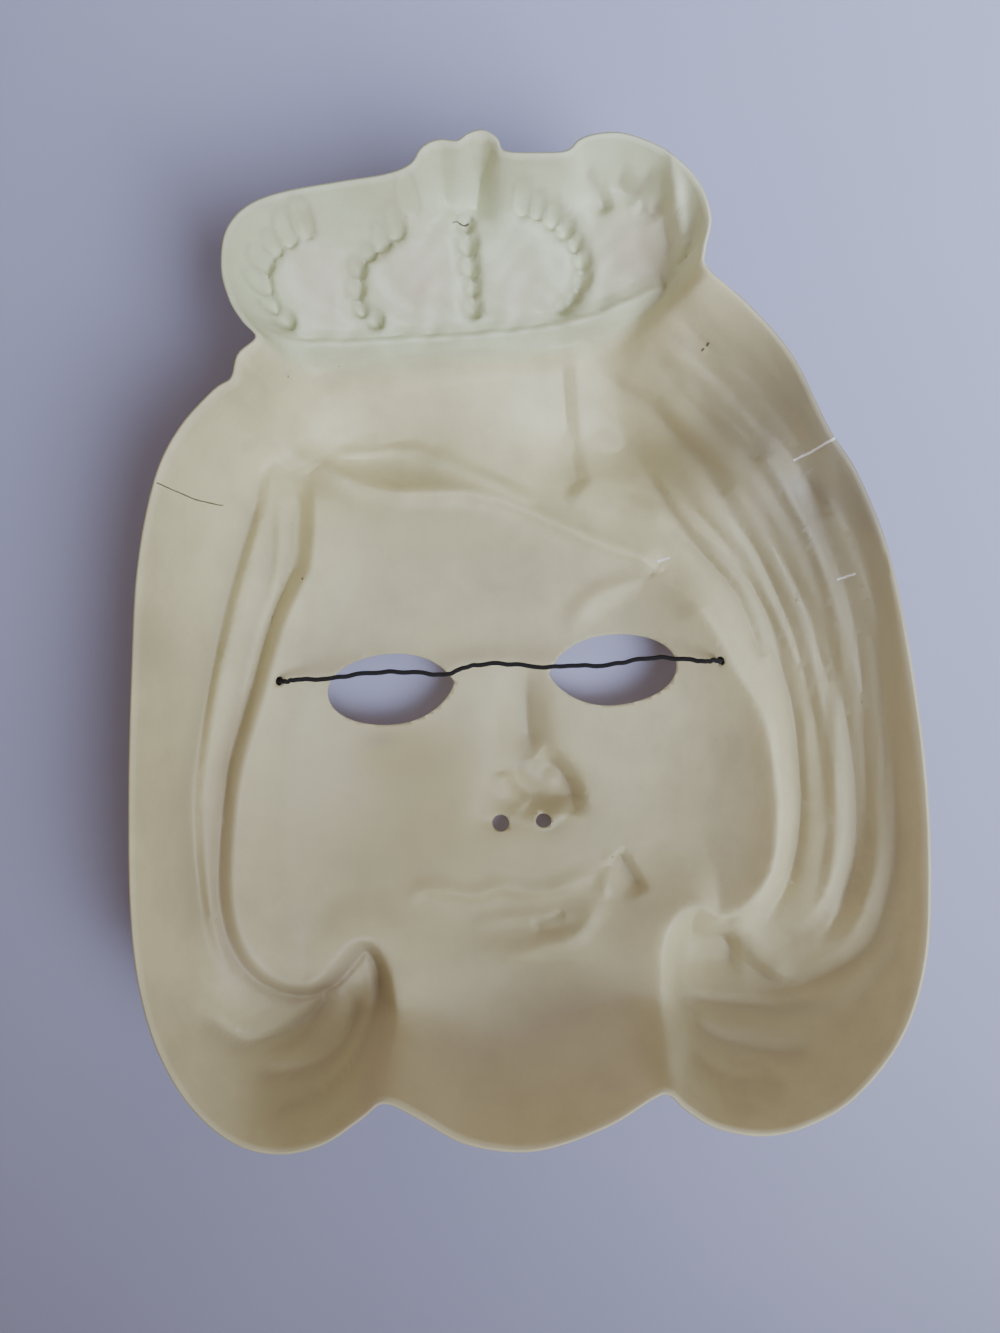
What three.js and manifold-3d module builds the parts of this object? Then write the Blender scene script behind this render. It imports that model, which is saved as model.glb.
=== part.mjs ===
// A child's fairy mask: one thin vacuum-formed sheet with a face, swept hair with flip curls and a
// beaded crown, lying on its face with the hollow side up. A thin black strap crosses the hollow.
// Units are millimetres, +X to the right, +Y towards the crown, +Z up.
// The drawing frame has its origin midway between the eyes; depth is measured down from the rim.

import * as THREE from 'three';
import { mergeVertices } from 'three/addons/utils/BufferGeometryUtils.js';
import Module from 'manifold-3d';

const wasm = await Module();
wasm.setup();

// Driving dimensions
const sheet = 0.8;            // thickness of the formed plastic
const maskDepth = 56;         // rim plane down to the flat spots it lies on
const faceDepth = 46;         // floor of the face below the rim
const crownDepth = 38;        // floor of the crown at its base
const eye = { x: 32, width: 36.4, height: 20.6 };
const nostril = { across: 5, left: [-4, -42], right: [8.6, -42.4] };
const head = { middle: 2, halfWidth: 80, leftRise: 14, rightRise: 20.4, chinRise: 17 };
const rightWall = { foot: 0.5, slope: 1.3, round: 4 };
const crownFront = { foot: 95, lean: 0.62, sideRise: 11, halfWidth: 60, climbFrom: 20, climb: 0.006 };
const edgeRound = 0.6;        // forming rounds every edge to about this radius
const bead = { depth: 3, wire: 1.6, steep: 4.4, gentle: 6, roundness: 1.8 };
const strap = { across: 1.3, sides: 8, hole: 2.6, pastHole: 0.7, knotRadius: 1.9, gap: 0.3 };

// The strap leaves each temple hole along the hole's axis
const templeLeft = { at: [-62.2, 5.2, 22.5], axis: [0.55, -0.05, 0.83] };
const templeRight = { at: [61.3, 0.1, 25.5], axis: [-0.55, -0.05, 0.83] };

// How finely the sheet is faceted
const sampleStep = 0.8;
const lineStep = 4.2;         // apart along the lines of relief
const boldLine = 2.3;         // only lines deeper than this are followed
const crispSide = 6;          // and the foot of a side that falls away within this
const closestPoints = 1.7;
const sheetPoints = 2070;
const rimStep = 5.2;

// Rim outline, clockwise from the left neck of the crown
const rimPoints = [
  [-54, 92], [-57, 96.5], [-59.8, 102], [-61.2, 110], [-59.5, 119], [-54, 124.8], [-45, 127.6],
  [-30, 129], [-18, 129.9], [-11.5, 132], [-8.4, 135.8], [-4.2, 137.4], [0.5, 136.7], [3.4, 138.3],
  [7.2, 138.9], [10.4, 136.6], [12, 133.2], [20, 132], [28, 131.8], [31.5, 134.4], [37, 135.5], [44, 134.5],
  [54, 129], [60.3, 121], [62.4, 112], [60.2, 104], [60.6, 99.5], [70, 89.5], [80, 75.5],
  [87.5, 56.5], [94, 44], [100, 23.5], [103.2, -7], [104.2, -35], [102.8, -62], [99.5, -82],
  [92, -99], [79, -112.5], [66, -118.5], [55, -119.6], [44, -116.6], [37, -111.5], [32.8, -107.2],
  [28.5, -108], [18, -113.4], [4, -117.6], [-7, -118.2], [-20, -114.8], [-31, -107.4],
  [-39, -103.1], [-45, -106.5], [-55, -112], [-66, -113.6], [-77, -110.2], [-87, -100.5],
  [-94, -86.5], [-97.6, -70], [-98.2, -50], [-96.2, -22], [-92.9, 8], [-89, 36], [-82.8, 58],
  [-75.5, 70.5], [-66, 79.4], [-61.2, 82.2], [-59, 88],
];

// Rounded swellings of the sheet: centre, reach along and across, extra depth, turn in degrees
const swellings = [
  [[-36, 73], [30, 15], 12.4, 0],      // hair over the forehead
  [[40, 69], [28, 17], 14.2, 0],
  [[-64, -91], [24, 17], 12, 0],       // flip curls and their tips
  [[64, -93], [26, 18], 14, 0],
  [[-47, -84], [8, 13], 5, -15],
  [[49, -84], [9, 13], 6, 8],
  [[-2, -95], [27, 18], 9, 0],         // chin
  [[-42, -38], [28, 34], 5, 0],        // cheeks
  [[42, -36], [28, 34], 5, 0],
  [[-2, -66], [30, 16], 4, 0],         // mouth
  [[0, -70], [21, 8], 2.6, 0],
  [[-32, 1], [26, 13], -3, 0],         // eye sockets
  [[32, 1], [26, 13], -3, 0],
  [[4, -20], [9, 19], 3.6, 4],         // nose
  [[6.5, -33.5], [11, 7.5], 7, 0],
  [[-6, -40], [5, 4], 2, 0],
  [[-6.2, 132], [6.4, 8], 8, 0],       // finial and the crumpled top beside it
  [[5, 130.5], [5.6, 9], 11, 0],
  [[40, 128], [12, 6], 3, 0],
];

// Lines of relief: points, extra depth, reach and sharpness to the left and to the right of travel,
// and how much of each end fades. A negative depth stands up inside.
const faceLeft = [
  [-53, 67], [-48.4, 56], [-50.2, 38.7], [-54.2, 30.4], [-58.6, 22.2], [-62.4, 12.6], [-65.8, 3.1],
  [-69.9, -7.7], [-73.3, -17.1], [-75.6, -26.6], [-77.7, -40.2], [-78.6, -53.9], [-76.6, -66.2],
  [-71.5, -76], [-65, -80.6], [-59, -79.6], [-54.4, -75.5], [-48.6, -70.6], [-42.6, -72],
  [-38.8, -80], [-37.4, -91.8], [-38.9, -103],
];
const faceRight = [
  [46, 26.8], [54.9, 17.9], [60, 8.9], [64.6, -2.2], [70.9, -17.2], [72.3, -33.9], [71.9, -44.9],
  [69.3, -58.1], [63, -67.5], [55.5, -71.5], [49.7, -68.3], [43.4, -71.4], [39.2, -79.5],
  [37, -92.8], [34, -106],
];
const seams = [
  [faceLeft, -6, [14, 2], [5.2, 1], [0.06, 0.02]],
  [faceRight, -7, [8, 1.2], [18, 2.2], [0.1, 0.02]],
  // hairline, and the roll of hair above it
  [[[-49.5, 69], [-41.5, 63.2], [-33.3, 59.1], [-24.7, 56.9], [-13.1, 55.9], [-4.5, 54.9], [6.8, 50.8],
    [20.6, 43.1], [31.6, 36.8], [42.4, 31.6], [48, 26.5]], -2.6, [7, 1.3], [4.4, 1.6], [0.1, 0.06]],
  [[[-44.2, 71.2], [-23.8, 70.8], [-12.4, 66.3], [4.4, 56.1], [14.1, 50.3]],
   -1.1, [3.5, 1.3], [3, 1.3], [0.2, 0.2]],
  // where the side hair leaves the roll below the crown
  [[[-64, 83], [-59.5, 77.2], [-55, 71.2], [-49.8, 66.3]], -3.2, [6, 1.2], [4.4, 1], [0, 0.15]],
];
const dents = [
  // long dent up the forehead, kinked at its foot
  [[[29.8, 92.5], [29.8, 85.3], [30.2, 71], [31.2, 59.1], [31.3, 55.3], [24.1, 48.7]],
   -3.4, [12, 1.2], [4.6, 1], [0.06, 0.1]],
  // fold in the right end of the crown
  [[[54, 131], [55.2, 122.4], [57, 112.6], [57.6, 107]], -8, [5, 1], [1.6, 1], [0, 0.1]],
  // between the two bulbs of the finial
  [[[0.4, 137.5], [-0.1, 134.5], [-0.3, 130]], -2, [3, 1.2], [3, 1.2], [0, 0.6]],
  // crumpled corner beside the fold
  [[[33.5, 131.5], [37.6, 127.5], [39, 122]], 2.4, [2, 1], [5, 1], [0.1, 0.2]],
  [[[41.4, 130.5], [45.8, 126.5], [51.4, 128.5]], 2.6, [2, 1], [3.4, 1], [0.15, 0.15]],
  [[[47, 123.5], [50.5, 120.5], [52.6, 123.5]], 2, [1.8, 1], [2.6, 1], [0.2, 0.2]],
  // narrow groove along the left side hair
  [[[-79, 19], [-85, -3.5], [-89, -25], [-89.6, -40], [-88.6, -60]], 1.2, [2, 1], [3, 1], [0.2, 0.2]],
  // dents beside the mouth and in the nose
  [[[23.1, -66.5], [26, -60.1], [28.8, -54]], -1.3, [3, 1.3], [2, 1], [0.2, 0.12]],
  [[[29.2, -53.4], [31.6, -57.6], [35.6, -65]], 3, [2.4, 1], [7, 1], [0.12, 0.2]],
  [[[-1.7, -27], [-1.2, -31], [1.4, -35.2], [4, -38.4]], -2, [2.2, 1], [4, 1], [0.15, 0.1]],
  [[[2.6, -26], [8.6, -30.5], [15, -31]], -1.4, [3, 1], [4, 1], [0.2, 0.2]],
];
const mouthAndBrow = [
  // bridge, wing and base of the nose
  [[[7.5, 4], [7, -3.6], [6.5, -15.3], [7.4, -24]], 3.6, [7.5, 1.5], [9, 1.3], [0.35, 0.25]],
  [[[9, -22.5], [12.6, -25.6], [16.2, -30.6], [18, -36.4], [17.6, -41.6]], 4.4, [4, 1], [8, 1.4],
   [0.2, 0.25]],
  [[[-9.5, -38], [-4.5, -39.6], [0, -40.3], [5, -42], [9.2, -43], [13.7, -40.5], [17.6, -38.4]],
   -1.5, [4, 1], [1.8, 1], [0.15, 0.15]],
  // lips
  [[[-33.5, -61.6], [-27.5, -58.9], [-20.4, -60.5], [-13, -62.4], [-5.8, -60.6], [2, -62.6], [10, -62.6],
    [22.7, -58.3]], -1.5, [4, 1.6], [2.6, 1.3], [0.15, 0.2]],
  [[[-16, -71], [-2, -70.2], [12, -71.4], [20, -67]], -1, [4, 1.6], [3, 1.4], [0.3, 0.25]],
  [[[2.4, -72.6], [8, -71.6], [12.6, -70.2]], 1.3, [1.3, 1], [4, 1], [0.2, 0.2]],
  [[[-12, -78], [-1.7, -79.9], [5.6, -78.8], [13, -77.1], [18.6, -72.7], [22.6, -65.6]],
   -1.7, [3.4, 1.3], [4.4, 1.6], [0.3, 0.15]],
  [[[-7.6, -81.1], [3.9, -81.8], [20, -81.8]], -0.6, [1.6, 1], [1.6, 1], [0.2, 0.3]],
  // brow
  [[[19.9, 11.7], [27.3, 20.6], [38.3, 24.6], [50.9, 25.3]], -1.6, [5, 1.6], [6, 1.6], [0.2, 0.2]],
];
const crownBands = [
  [[[-57.5, 97.5], [-45.1, 96.8], [-34.3, 96.6], [-20.3, 96.9], [2.2, 96.6], [19.2, 96.8], [36.1, 98.4],
    [53.6, 103]], -3.4, [4.4, 1.2], [2.6, 1], [0.02, 0.02]],
  [[[-57, 85.5], [-48.7, 90.4], [-35.1, 93], [-20.9, 93.8], [2, 93.8], [24.8, 93.2], [33.5, 93.6]],
   -1.4, [1.6, 1], [3.4, 1.2], [0.05, 0.1]],
];
const curlLocks = [
  // right curl: the inner hair runs in under the tip, then the strokes below it
  [[[57.5, -73.5], [61.5, -79], [66.3, -85.2], [74, -91]], -3.6, [9, 1.3], [3.4, 1], [0.15, 0.2]],
  [[[57.4, -76], [59.2, -82.8], [59.4, -91]], 2.6, [2.6, 1], [10, 1.2], [0.2, 0.25]],
  [[[41.6, -92], [46.8, -96.6], [57.8, -98.4], [71.3, -98.1], [84, -94]], 1.9, [2.2, 1], [4, 1],
   [0.15, 0.2]],
  [[[43.4, -98.3], [46.3, -102.2], [50.8, -105.4], [58.5, -107.1], [68.9, -107.9], [79.2, -104.6]],
   1.9, [2.4, 1], [4.4, 1], [0.12, 0.2]],
  [[[41.1, -104], [46, -109.3], [51.9, -112.4], [60.7, -113.3], [70, -111]], 1.8, [2, 1], [3.4, 1],
   [0.12, 0.2]],
  // left curl
  [[[-90.5, -80], [-85.4, -88], [-79.4, -94], [-72.2, -94.6], [-65.5, -92.6], [-60.7, -89], [-58.2, -84]],
   2.6, [2, 1], [5, 1.2], [0.15, 0.15]],
  [[[-79.4, -97.8], [-75.2, -101], [-67.1, -103.2], [-58.4, -102], [-52.4, -97.5], [-50.2, -91],
   [-51.4, -85]],
   2.4, [1.8, 1], [4.4, 1.2], [0.15, 0.15]],
  [[[-76, -106], [-67.2, -107.6], [-57.5, -106], [-49.3, -100.5], [-45.2, -93.5], [-43.9, -86],
   [-44.4, -78.7]],
   2.2, [2.2, 1], [4, 1.2], [0.15, 0.12]],
];

// Locks of hair from the crown down: points, depth, gentle side, steep side, how much fades in
const rightLocks = [
  [[[45, 56], [53.8, 47.5], [62.6, 38.3], [70.2, 27.4], [75, 14.2], [78.4, -0.4], [80.6, -16.1],
   [80.9, -31.4],
    [79.8, -46.1], [75.8, -61.6], [68.5, -73]], 4.2, 6.4, 5, 0.5],
  [[[49.5, 43], [58.1, 33], [65.7, 22.7], [70.3, 11.7], [73.4, 0]], 1.3, 3.4, 1.8, 0.2],
  [[[62, 46], [71.2, 33.5], [79, 16], [83.2, -2], [85.7, -20], [86, -42], [83.7, -57], [79.7, -69]],
   1, 3.4, 1.6, 0.7],
  [[[66.2, 51.4], [76.6, 35.5], [83.2, 19.3], [88.8, 3.6], [92, -13.4], [93.2, -29.8], [92.9, -43.3],
    [91.2, -57], [87.3, -69.4], [81, -79.4]], 3.6, 5.4, 3, 0.85],
  [[[74.5, 58.8], [83.3, 44.2], [89, 29], [93.2, 14.2], [95.5, -2.7], [96.2, -19.1], [95.7, -37.9],
    [93.8, -54.2], [89.8, -67.7], [84, -78.9]], 1.5, 2.2, 2, 0.8],
  [[[70, 44], [79.5, 26], [85.6, 8], [89, -8]], 0.6, 2, 1.4, 0.2],
  [[[64, 88], [73, 79.5], [81, 68.5], [87.6, 55.7], [93.4, 39.3], [98, 20], [101.2, 1.1], [101.9, -19.3],
    [101.7, -40.4], [100.4, -53.9], [97, -67.3], [92.4, -78.8], [85.4, -87], [77, -92.6], [70, -94.6],
    [62, -95]], 2.4, 4, 3, 0.8],
  [[[54.5, 93], [63.5, 84], [71.5, 76], [78.6, 65], [84.6, 51], [89.4, 36]], 1.6, 7, 2.6, 0.12],
  [[[48, 88], [60, 78], [68.5, 66.5], [76, 53]], 1.2, 5, 2, 0.12],
  [[[36, 88], [50, 76], [60, 62], [68, 47]], 1, 5, 2, 0.12],
];
const leftLocks = [
  [[[-64, 71.7], [-66.3, 56.9], [-70.7, 44.2], [-74.6, 33.1], [-78.5, 20.8], [-82, 8.6], [-85, -3.5],
    [-87.3, -14.2], [-89, -25], [-89.6, -38.7], [-89.4, -52.6], [-88.2, -63.7],
     [-86, -74.2]], 4.2, 6, 3.2, 0.12],
  [[[-61.7, 60], [-62, 45], [-65, 31.1], [-69, 20.1], [-72.5, 9.1], [-75.6, -2], [-79, -14], [-81.5, -30]],
   1.5, 3, 2, 0.12],
  [[[-56, 58], [-57.2, 43.5], [-60.2, 32.3], [-64.6, 22.6], [-69, 11], [-72.6, 0], [-76.5, -12]],
   1.4, 2.6, 1.8, 0.12],
];

// Arcs of beads: points, how many beads and their radius
const beadArcs = [
  [[[-39.1, 125], [-46.8, 122], [-52.3, 117.7], [-54.5, 113.3], [-54, 107.9], [-48.5, 101.4]], 7, 2.7],
  [[[-15.5, 125], [-23, 120.6], [-28.5, 116.5], [-30.3, 111.8], [-30.3, 106.6], [-24.3, 101.8]], 7, 2.6],
  [[[0.6, 127], [1.3, 122.4], [1.1, 115], [1.3, 108.6], [0.6, 102]], 5, 3],
  [[[14.6, 127.2], [22.5, 124.4], [27.7, 120.2], [31.5, 114.6], [31.9, 108.9], [28.9, 104.6],
    [24.1, 101.6]], 9, 2.6],
];

// Smooth curve through a few points
function smoothCurve(points, perSpan, closed) {
  const flat = points.map(([x, y]) => new THREE.Vector3(x, y, 0));
  const curve = new THREE.CatmullRomCurve3(flat, closed, 'catmullrom', 0.5);
  const spans = closed ? points.length : points.length - 1;
  const sampled = curve.getPoints(spans * perSpan).map((p) => [p.x, p.y]);
  if (closed) sampled.pop();
  return sampled;
}

// Prepares a line for quick distance tests
function route(points, closed = false, perSpan = 5) {
  const line = smoothCurve(points, perSpan, closed);
  if (closed) line.push(line[0]);
  const spans = [];
  let length = 0;
  for (let i = 0; i + 1 < line.length; i++) {
    const [x, y] = line[i];
    const long = Math.hypot(line[i + 1][0] - x, line[i + 1][1] - y);
    const ux = (line[i + 1][0] - x) / long;
    const uy = (line[i + 1][1] - y) / long;
    spans.push({ x, y, ux, uy, long, start: length });
    length += long;
  }
  const xs = line.map((p) => p[0]);
  const ys = line.map((p) => p[1]);
  const box = [Math.min(...xs), Math.max(...xs), Math.min(...ys), Math.max(...ys)];
  return { line, spans, length, box };
}

// Distance from a place to a route, which side it is on, and how far along
function nearest(path, x, y) {
  let best = Infinity;
  let left = true;
  let at = 0;
  for (const s of path.spans) {
    const dx = x - s.x;
    const dy = y - s.y;
    const a = Math.min(Math.max(dx * s.ux + dy * s.uy, 0), s.long);
    const gap = (dx - a * s.ux) ** 2 + (dy - a * s.uy) ** 2;
    if (gap < best) {
      best = gap;
      left = s.ux * dy - s.uy * dx >= 0;
      at = s.start + a;
    }
  }
  return { distance: Math.sqrt(best), left, along: at / path.length };
}

// A line of relief made ready: sides are [reach, sharpness]
function prepared([line, depth, left, right, ends]) {
  return { path: route(line), depth, left, right, ends, reach: Math.max(left[0], right[0]) };
}

// A lock has a gentle slope on the face side and a steep one on the rim side
function lockCrease([line, depth, gentle, steep, fadeIn]) {
  return prepared([[...line].reverse(), depth, [gentle, 1], [steep, 1], [0.12, fadeIn]]);
}

function beadTrough([line]) {
  const { wire, steep, gentle, roundness } = bead;
  return prepared([line, wire, [steep, roundness], [gentle, roundness], [0.12, 0.12]]);
}

const creases = [
  ...[...seams, ...dents, ...mouthAndBrow, ...crownBands, ...curlLocks].map(prepared),
  ...[...rightLocks, ...leftLocks].map(lockCrease),
  ...beadArcs.map(beadTrough),
];

// A place on a route, a length from its start
function placeOn(path, length, aside = 0) {
  const s = path.spans.findLast((span) => span.start <= length);
  const along = length - s.start;
  return [s.x + along * s.ux - aside * s.uy, s.y + along * s.uy + aside * s.ux];
}

// Beads are spread evenly along each arc, with one small ball apart
const beads = [{ x: -13.5, y: 128, r: 3 }];
for (const [line, count, radius] of beadArcs) {
  const path = route(line);
  for (let i = 0; i < count; i++) {
    const [x, y] = placeOn(path, ((i + 0.5) / count) * path.length);
    beads.push({ x, y, r: radius + 0.35 * Math.sin(2 * i + count) });
  }
}

const rim = route(rimPoints, true);

function insideRim(x, y) {
  let inside = false;
  for (let i = 0; i + 1 < rim.line.length; i++) {
    const [x1, y1] = rim.line[i];
    const [x2, y2] = rim.line[i + 1];
    if (y1 > y !== y2 > y && x < ((x2 - x1) * (y - y1)) / (y2 - y1) + x1) inside = !inside;
  }
  return inside;
}

// The broad dome of the head and, above it, the lean-back front of the crown
function dome(x, y, distance) {
  const toRight = THREE.MathUtils.smoothstep(x, 40, 75);
  const across = x - head.middle;
  const far = (100 + head.middle - distance) * toRight + across * (1 - toRight);
  const rise = across > 0 ? head.rightRise : head.leftRise;
  const side = rise * Math.abs(far / head.halfWidth) ** 2.5;
  const low = head.chinRise * Math.max(-(y + 10) / 100, 0) ** 3 * (1 - 0.8 * toRight);
  const crownSide = crownFront.sideRise * (across / crownFront.halfWidth) ** 2;
  const crown = crownDepth - crownFront.lean * (y - crownFront.foot) - crownSide;
  const above = y - crownFront.climb * Math.max(x - crownFront.climbFrom, 0) ** 2;
  const k = THREE.MathUtils.smoothstep(above, 87, 97);
  const face = faceDepth - side - low;
  // At the upper right the hair climbs to the rim as one steep wall
  const over = face - rightWall.foot - rightWall.slope * distance;
  const wall = THREE.MathUtils.smoothstep(x, 30, 60) * THREE.MathUtils.smoothstep(y, -20, 30);
  const cut = wall * (over + Math.hypot(over, rightWall.round)) / 2;
  return Math.max(face - cut, 1) * (1 - k) + crown * k;
}

// How far from the rim the sheet starts to turn up
function turnUp(x, y) {
  const right = THREE.MathUtils.smoothstep(x, 30, 75);
  const top = THREE.MathUtils.smoothstep(y, 75, 100);
  const low = THREE.MathUtils.smoothstep(-y, 80, 105);
  return (13 + 5 * low - 3 * top) * (1 - right) + (3.4 + 3 * top + 6 * low) * right;
}

// Depth of the sheet below the rim plane
function depthAt(x, y) {
  const { distance } = nearest(rim, x, y);
  let depth = dome(x, y, distance);
  for (const [at, reach, extra, turn] of swellings) {
    const c = Math.cos(THREE.MathUtils.degToRad(turn));
    const s = Math.sin(THREE.MathUtils.degToRad(turn));
    const u = ((x - at[0]) * c + (y - at[1]) * s) / reach[0];
    const v = ((y - at[1]) * c - (x - at[0]) * s) / reach[1];
    depth += extra * Math.exp(-(u * u + v * v));
  }
  for (const crease of creases) {
    const [x1, x2, y1, y2] = crease.path.box;
    const r = crease.reach;
    if (x < x1 - r || x > x2 + r || y < y1 - r || y > y2 + r) continue;
    const near = nearest(crease.path, x, y);
    const [reach, sharpness] = near.left ? crease.left : crease.right;
    const u = (Math.hypot(near.distance, edgeRound) - edgeRound) / reach;
    if (u >= 1) continue;
    const start = crease.ends[0] > 0 ? Math.min(near.along / crease.ends[0], 1) ** 0.7 : 1;
    const end = crease.ends[1] > 0 ? Math.min((1 - near.along) / crease.ends[1], 1) ** 0.7 : 1;
    depth += crease.depth * (1 - u) ** sharpness * start * end;
  }
  let ball = 0;
  for (const { x: bx, y: by, r } of beads) {
    const q = 1 - ((x - bx) ** 2 + (y - by) ** 2) / (r * r);
    ball = Math.max(ball, q);
  }
  depth += bead.depth * ball ** 0.85;
  depth *= 1 - Math.max(1 - distance / turnUp(x, y), 0) ** 2.4;
  return Math.min(depth, maskDepth - sheet / 2);
}

// Points and triangles of the sheet's middle surface, placed where the relief bends most
function fitSheet() {
  const points = [];
  const rimCount = Math.round(rim.length / rimStep);
  for (let i = 0; i < rimCount; i++) {
    const [x, y] = placeOn(rim, (i / rimCount) * rim.length);
    points.push({ x, y, d: 0, rim: true });
  }

  const [left, rightEdge, bottom, top] = rim.box;
  const columns = Math.ceil((rightEdge - left) / sampleStep);
  const rows = Math.ceil((top - bottom) / sampleStep);
  const samples = [];
  for (let j = 0; j <= rows; j++) {
    const y = bottom + j * sampleStep;
    for (let i = 0; i <= columns; i++) {
      const x = left + i * sampleStep;
      samples.push(insideRim(x, y) ? depthAt(x, y) : null);
    }
  }

  // The bold lines of relief are followed first, along the crest and along the foot of a crisp side
  for (const { path, depth, left: leftSide, right: rightSide } of creases) {
    if (Math.abs(depth) < boldLine) continue;
    const aside = [0, leftSide[0], -rightSide[0]].filter((a) => Math.abs(a) < crispSide);
    const steps = Math.round(path.length / lineStep);
    for (const a of aside) {
      for (let i = 0; i < steps; i++) {
        const [x, y] = placeOn(path, ((i + 0.5) / steps) * path.length, a);
        if (!insideRim(x, y) || nearest(rim, x, y).distance < closestPoints) continue;
        if (points.some((p) => Math.hypot(p.x - x, p.y - y) < closestPoints)) continue;
        points.push({ x, y, d: depthAt(x, y) });
      }
    }
  }
  const followed = points.length;

  const sampleAt = (i, j) => {
    if (i < 0 || j < 0 || i > columns || j > rows) return null;
    return samples[j * (columns + 1) + i];
  };
  const lean = (i, j) => {
    const dx = ((sampleAt(i + 1, j) ?? 0) - (sampleAt(i - 1, j) ?? 0)) / (2 * sampleStep);
    const dy = ((sampleAt(i, j + 1) ?? 0) - (sampleAt(i, j - 1) ?? 0)) / (2 * sampleStep);
    return Math.sqrt(1 + dx * dx + dy * dy);
  };

  // A triangle far larger than the mask holds all the points at first
  const far = 2000;
  points.push({ x: -far, y: -far, d: 0 }, { x: far, y: -far, d: 0 }, { x: 0, y: far, d: 0 });
  const corner = followed;
  const triangle = (a, b, c) => {
    const [p, q, r] = [points[a], points[b], points[c]];
    const ax = q.x - p.x;
    const ay = q.y - p.y;
    const bx = r.x - p.x;
    const by = r.y - p.y;
    const cross = 2 * (ax * by - ay * bx);
    const cx = (by * (ax * ax + ay * ay) - ay * (bx * bx + by * by)) / cross;
    const cy = (ax * (bx * bx + by * by) - bx * (ax * ax + ay * ay)) / cross;
    return { a, b, c, cx: p.x + cx, cy: p.y + cy, r2: cx * cx + cy * cy, worst: null };
  };
  let triangles = [triangle(corner, corner + 1, corner + 2)];

  const insert = (index) => {
    const { x, y } = points[index];
    const kept = [];
    const edges = new Map();
    for (const t of triangles) {
      if ((x - t.cx) ** 2 + (y - t.cy) ** 2 >= t.r2) {
        kept.push(t);
        continue;
      }
      for (const [i, j] of [[t.a, t.b], [t.b, t.c], [t.c, t.a]]) {
        if (!edges.delete(`${j},${i}`)) edges.set(`${i},${j}`, [i, j]);
      }
    }
    for (const [i, j] of edges.values()) kept.push(triangle(i, j, index));
    triangles = kept;
  };
  for (let i = 0; i < followed; i++) insert(i);

  // The sample in a triangle that lies furthest from it
  const measure = (t) => {
    const [p, q, r] = [points[t.a], points[t.b], points[t.c]];
    t.worst = { error: 0 };
    const cross = (q.x - p.x) * (r.y - p.y) - (q.y - p.y) * (r.x - p.x);
    const i1 = Math.max(Math.floor((Math.min(p.x, q.x, r.x) - left) / sampleStep), 0);
    const i2 = Math.min(Math.ceil((Math.max(p.x, q.x, r.x) - left) / sampleStep), columns);
    const j1 = Math.max(Math.floor((Math.min(p.y, q.y, r.y) - bottom) / sampleStep), 0);
    const j2 = Math.min(Math.ceil((Math.max(p.y, q.y, r.y) - bottom) / sampleStep), rows);
    for (let j = j1; j <= j2; j++) {
      for (let i = i1; i <= i2; i++) {
        const d = sampleAt(i, j);
        if (d === null) continue;
        const x = left + i * sampleStep;
        const y = bottom + j * sampleStep;
        const u = ((x - p.x) * (r.y - p.y) - (y - p.y) * (r.x - p.x)) / cross;
        const v = ((q.x - p.x) * (y - p.y) - (q.y - p.y) * (x - p.x)) / cross;
        if (u < 0 || v < 0 || u + v > 1) continue;
        const error = Math.abs(d - (p.d + u * (q.d - p.d) + v * (r.d - p.d))) / lean(i, j);
        if (error <= t.worst.error) continue;
        const near = [p, q, r].some((k) => Math.hypot(k.x - x, k.y - y) < closestPoints);
        if (!near) t.worst = { error, x, y, d };
      }
    }
  };
  while (points.length < sheetPoints) {
    let next = null;
    for (const t of triangles) {
      if (t.worst === null) measure(t);
      if (t.worst.error > 0 && (next === null || t.worst.error > next.error)) next = t.worst;
    }
    if (next === null) break;
    points.push(next);
    insert(points.length - 1);
  }

  const middle = (t, k) => (points[t.a][k] + points[t.b][k] + points[t.c][k]) / 3;
  const faces = triangles
    .filter((t) => [t.a, t.b, t.c].every((i) => i < corner || i > corner + 2))
    .filter((t) => insideRim(middle(t, 'x'), middle(t, 'y')))
    .map((t) => [t.a, t.b, t.c]);
  return { points, faces };
}

// Closed solid of the sheet: two skins half a thickness each side, joined round the rim
function sheetGeometry({ points, faces }) {
  const place = points.map((p) => new THREE.Vector3(p.x, p.y, maskDepth - p.d));
  const lean = points.map(() => new THREE.Vector3());
  const outline = new Map();
  for (const [a, b, c] of faces) {
    const side = new THREE.Vector3().subVectors(place[b], place[a]);
    const normal = side.cross(new THREE.Vector3().subVectors(place[c], place[a]));
    for (const k of [a, b, c]) lean[k].add(normal);
    for (const [i, j] of [[a, b], [b, c], [c, a]]) {
      if (!outline.delete(`${j},${i}`)) outline.set(`${i},${j}`, [i, j]);
    }
  }
  const skin = (sideways) => place.map((p, i) => {
    const normal = lean[i].clone();
    if (points[i].rim) normal.z = 0;
    normal.normalize().multiplyScalar(sideways * sheet / 2);
    return p.clone().add(normal);
  });
  const upper = skin(1);
  const lower = skin(-1);
  const corners = [];
  const face = (...list) => list.forEach((p) => corners.push(p.x, p.y, p.z));
  for (const [a, b, c] of faces) {
    face(upper[a], upper[b], upper[c]);
    face(lower[a], lower[c], lower[b]);
  }
  for (const [i, j] of outline.values()) {
    face(upper[j], upper[i], lower[i]);
    face(upper[j], lower[i], lower[j]);
  }
  const geometry = new THREE.BufferGeometry();
  geometry.setAttribute('position', new THREE.Float32BufferAttribute(corners, 3));
  return geometry;
}

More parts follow.
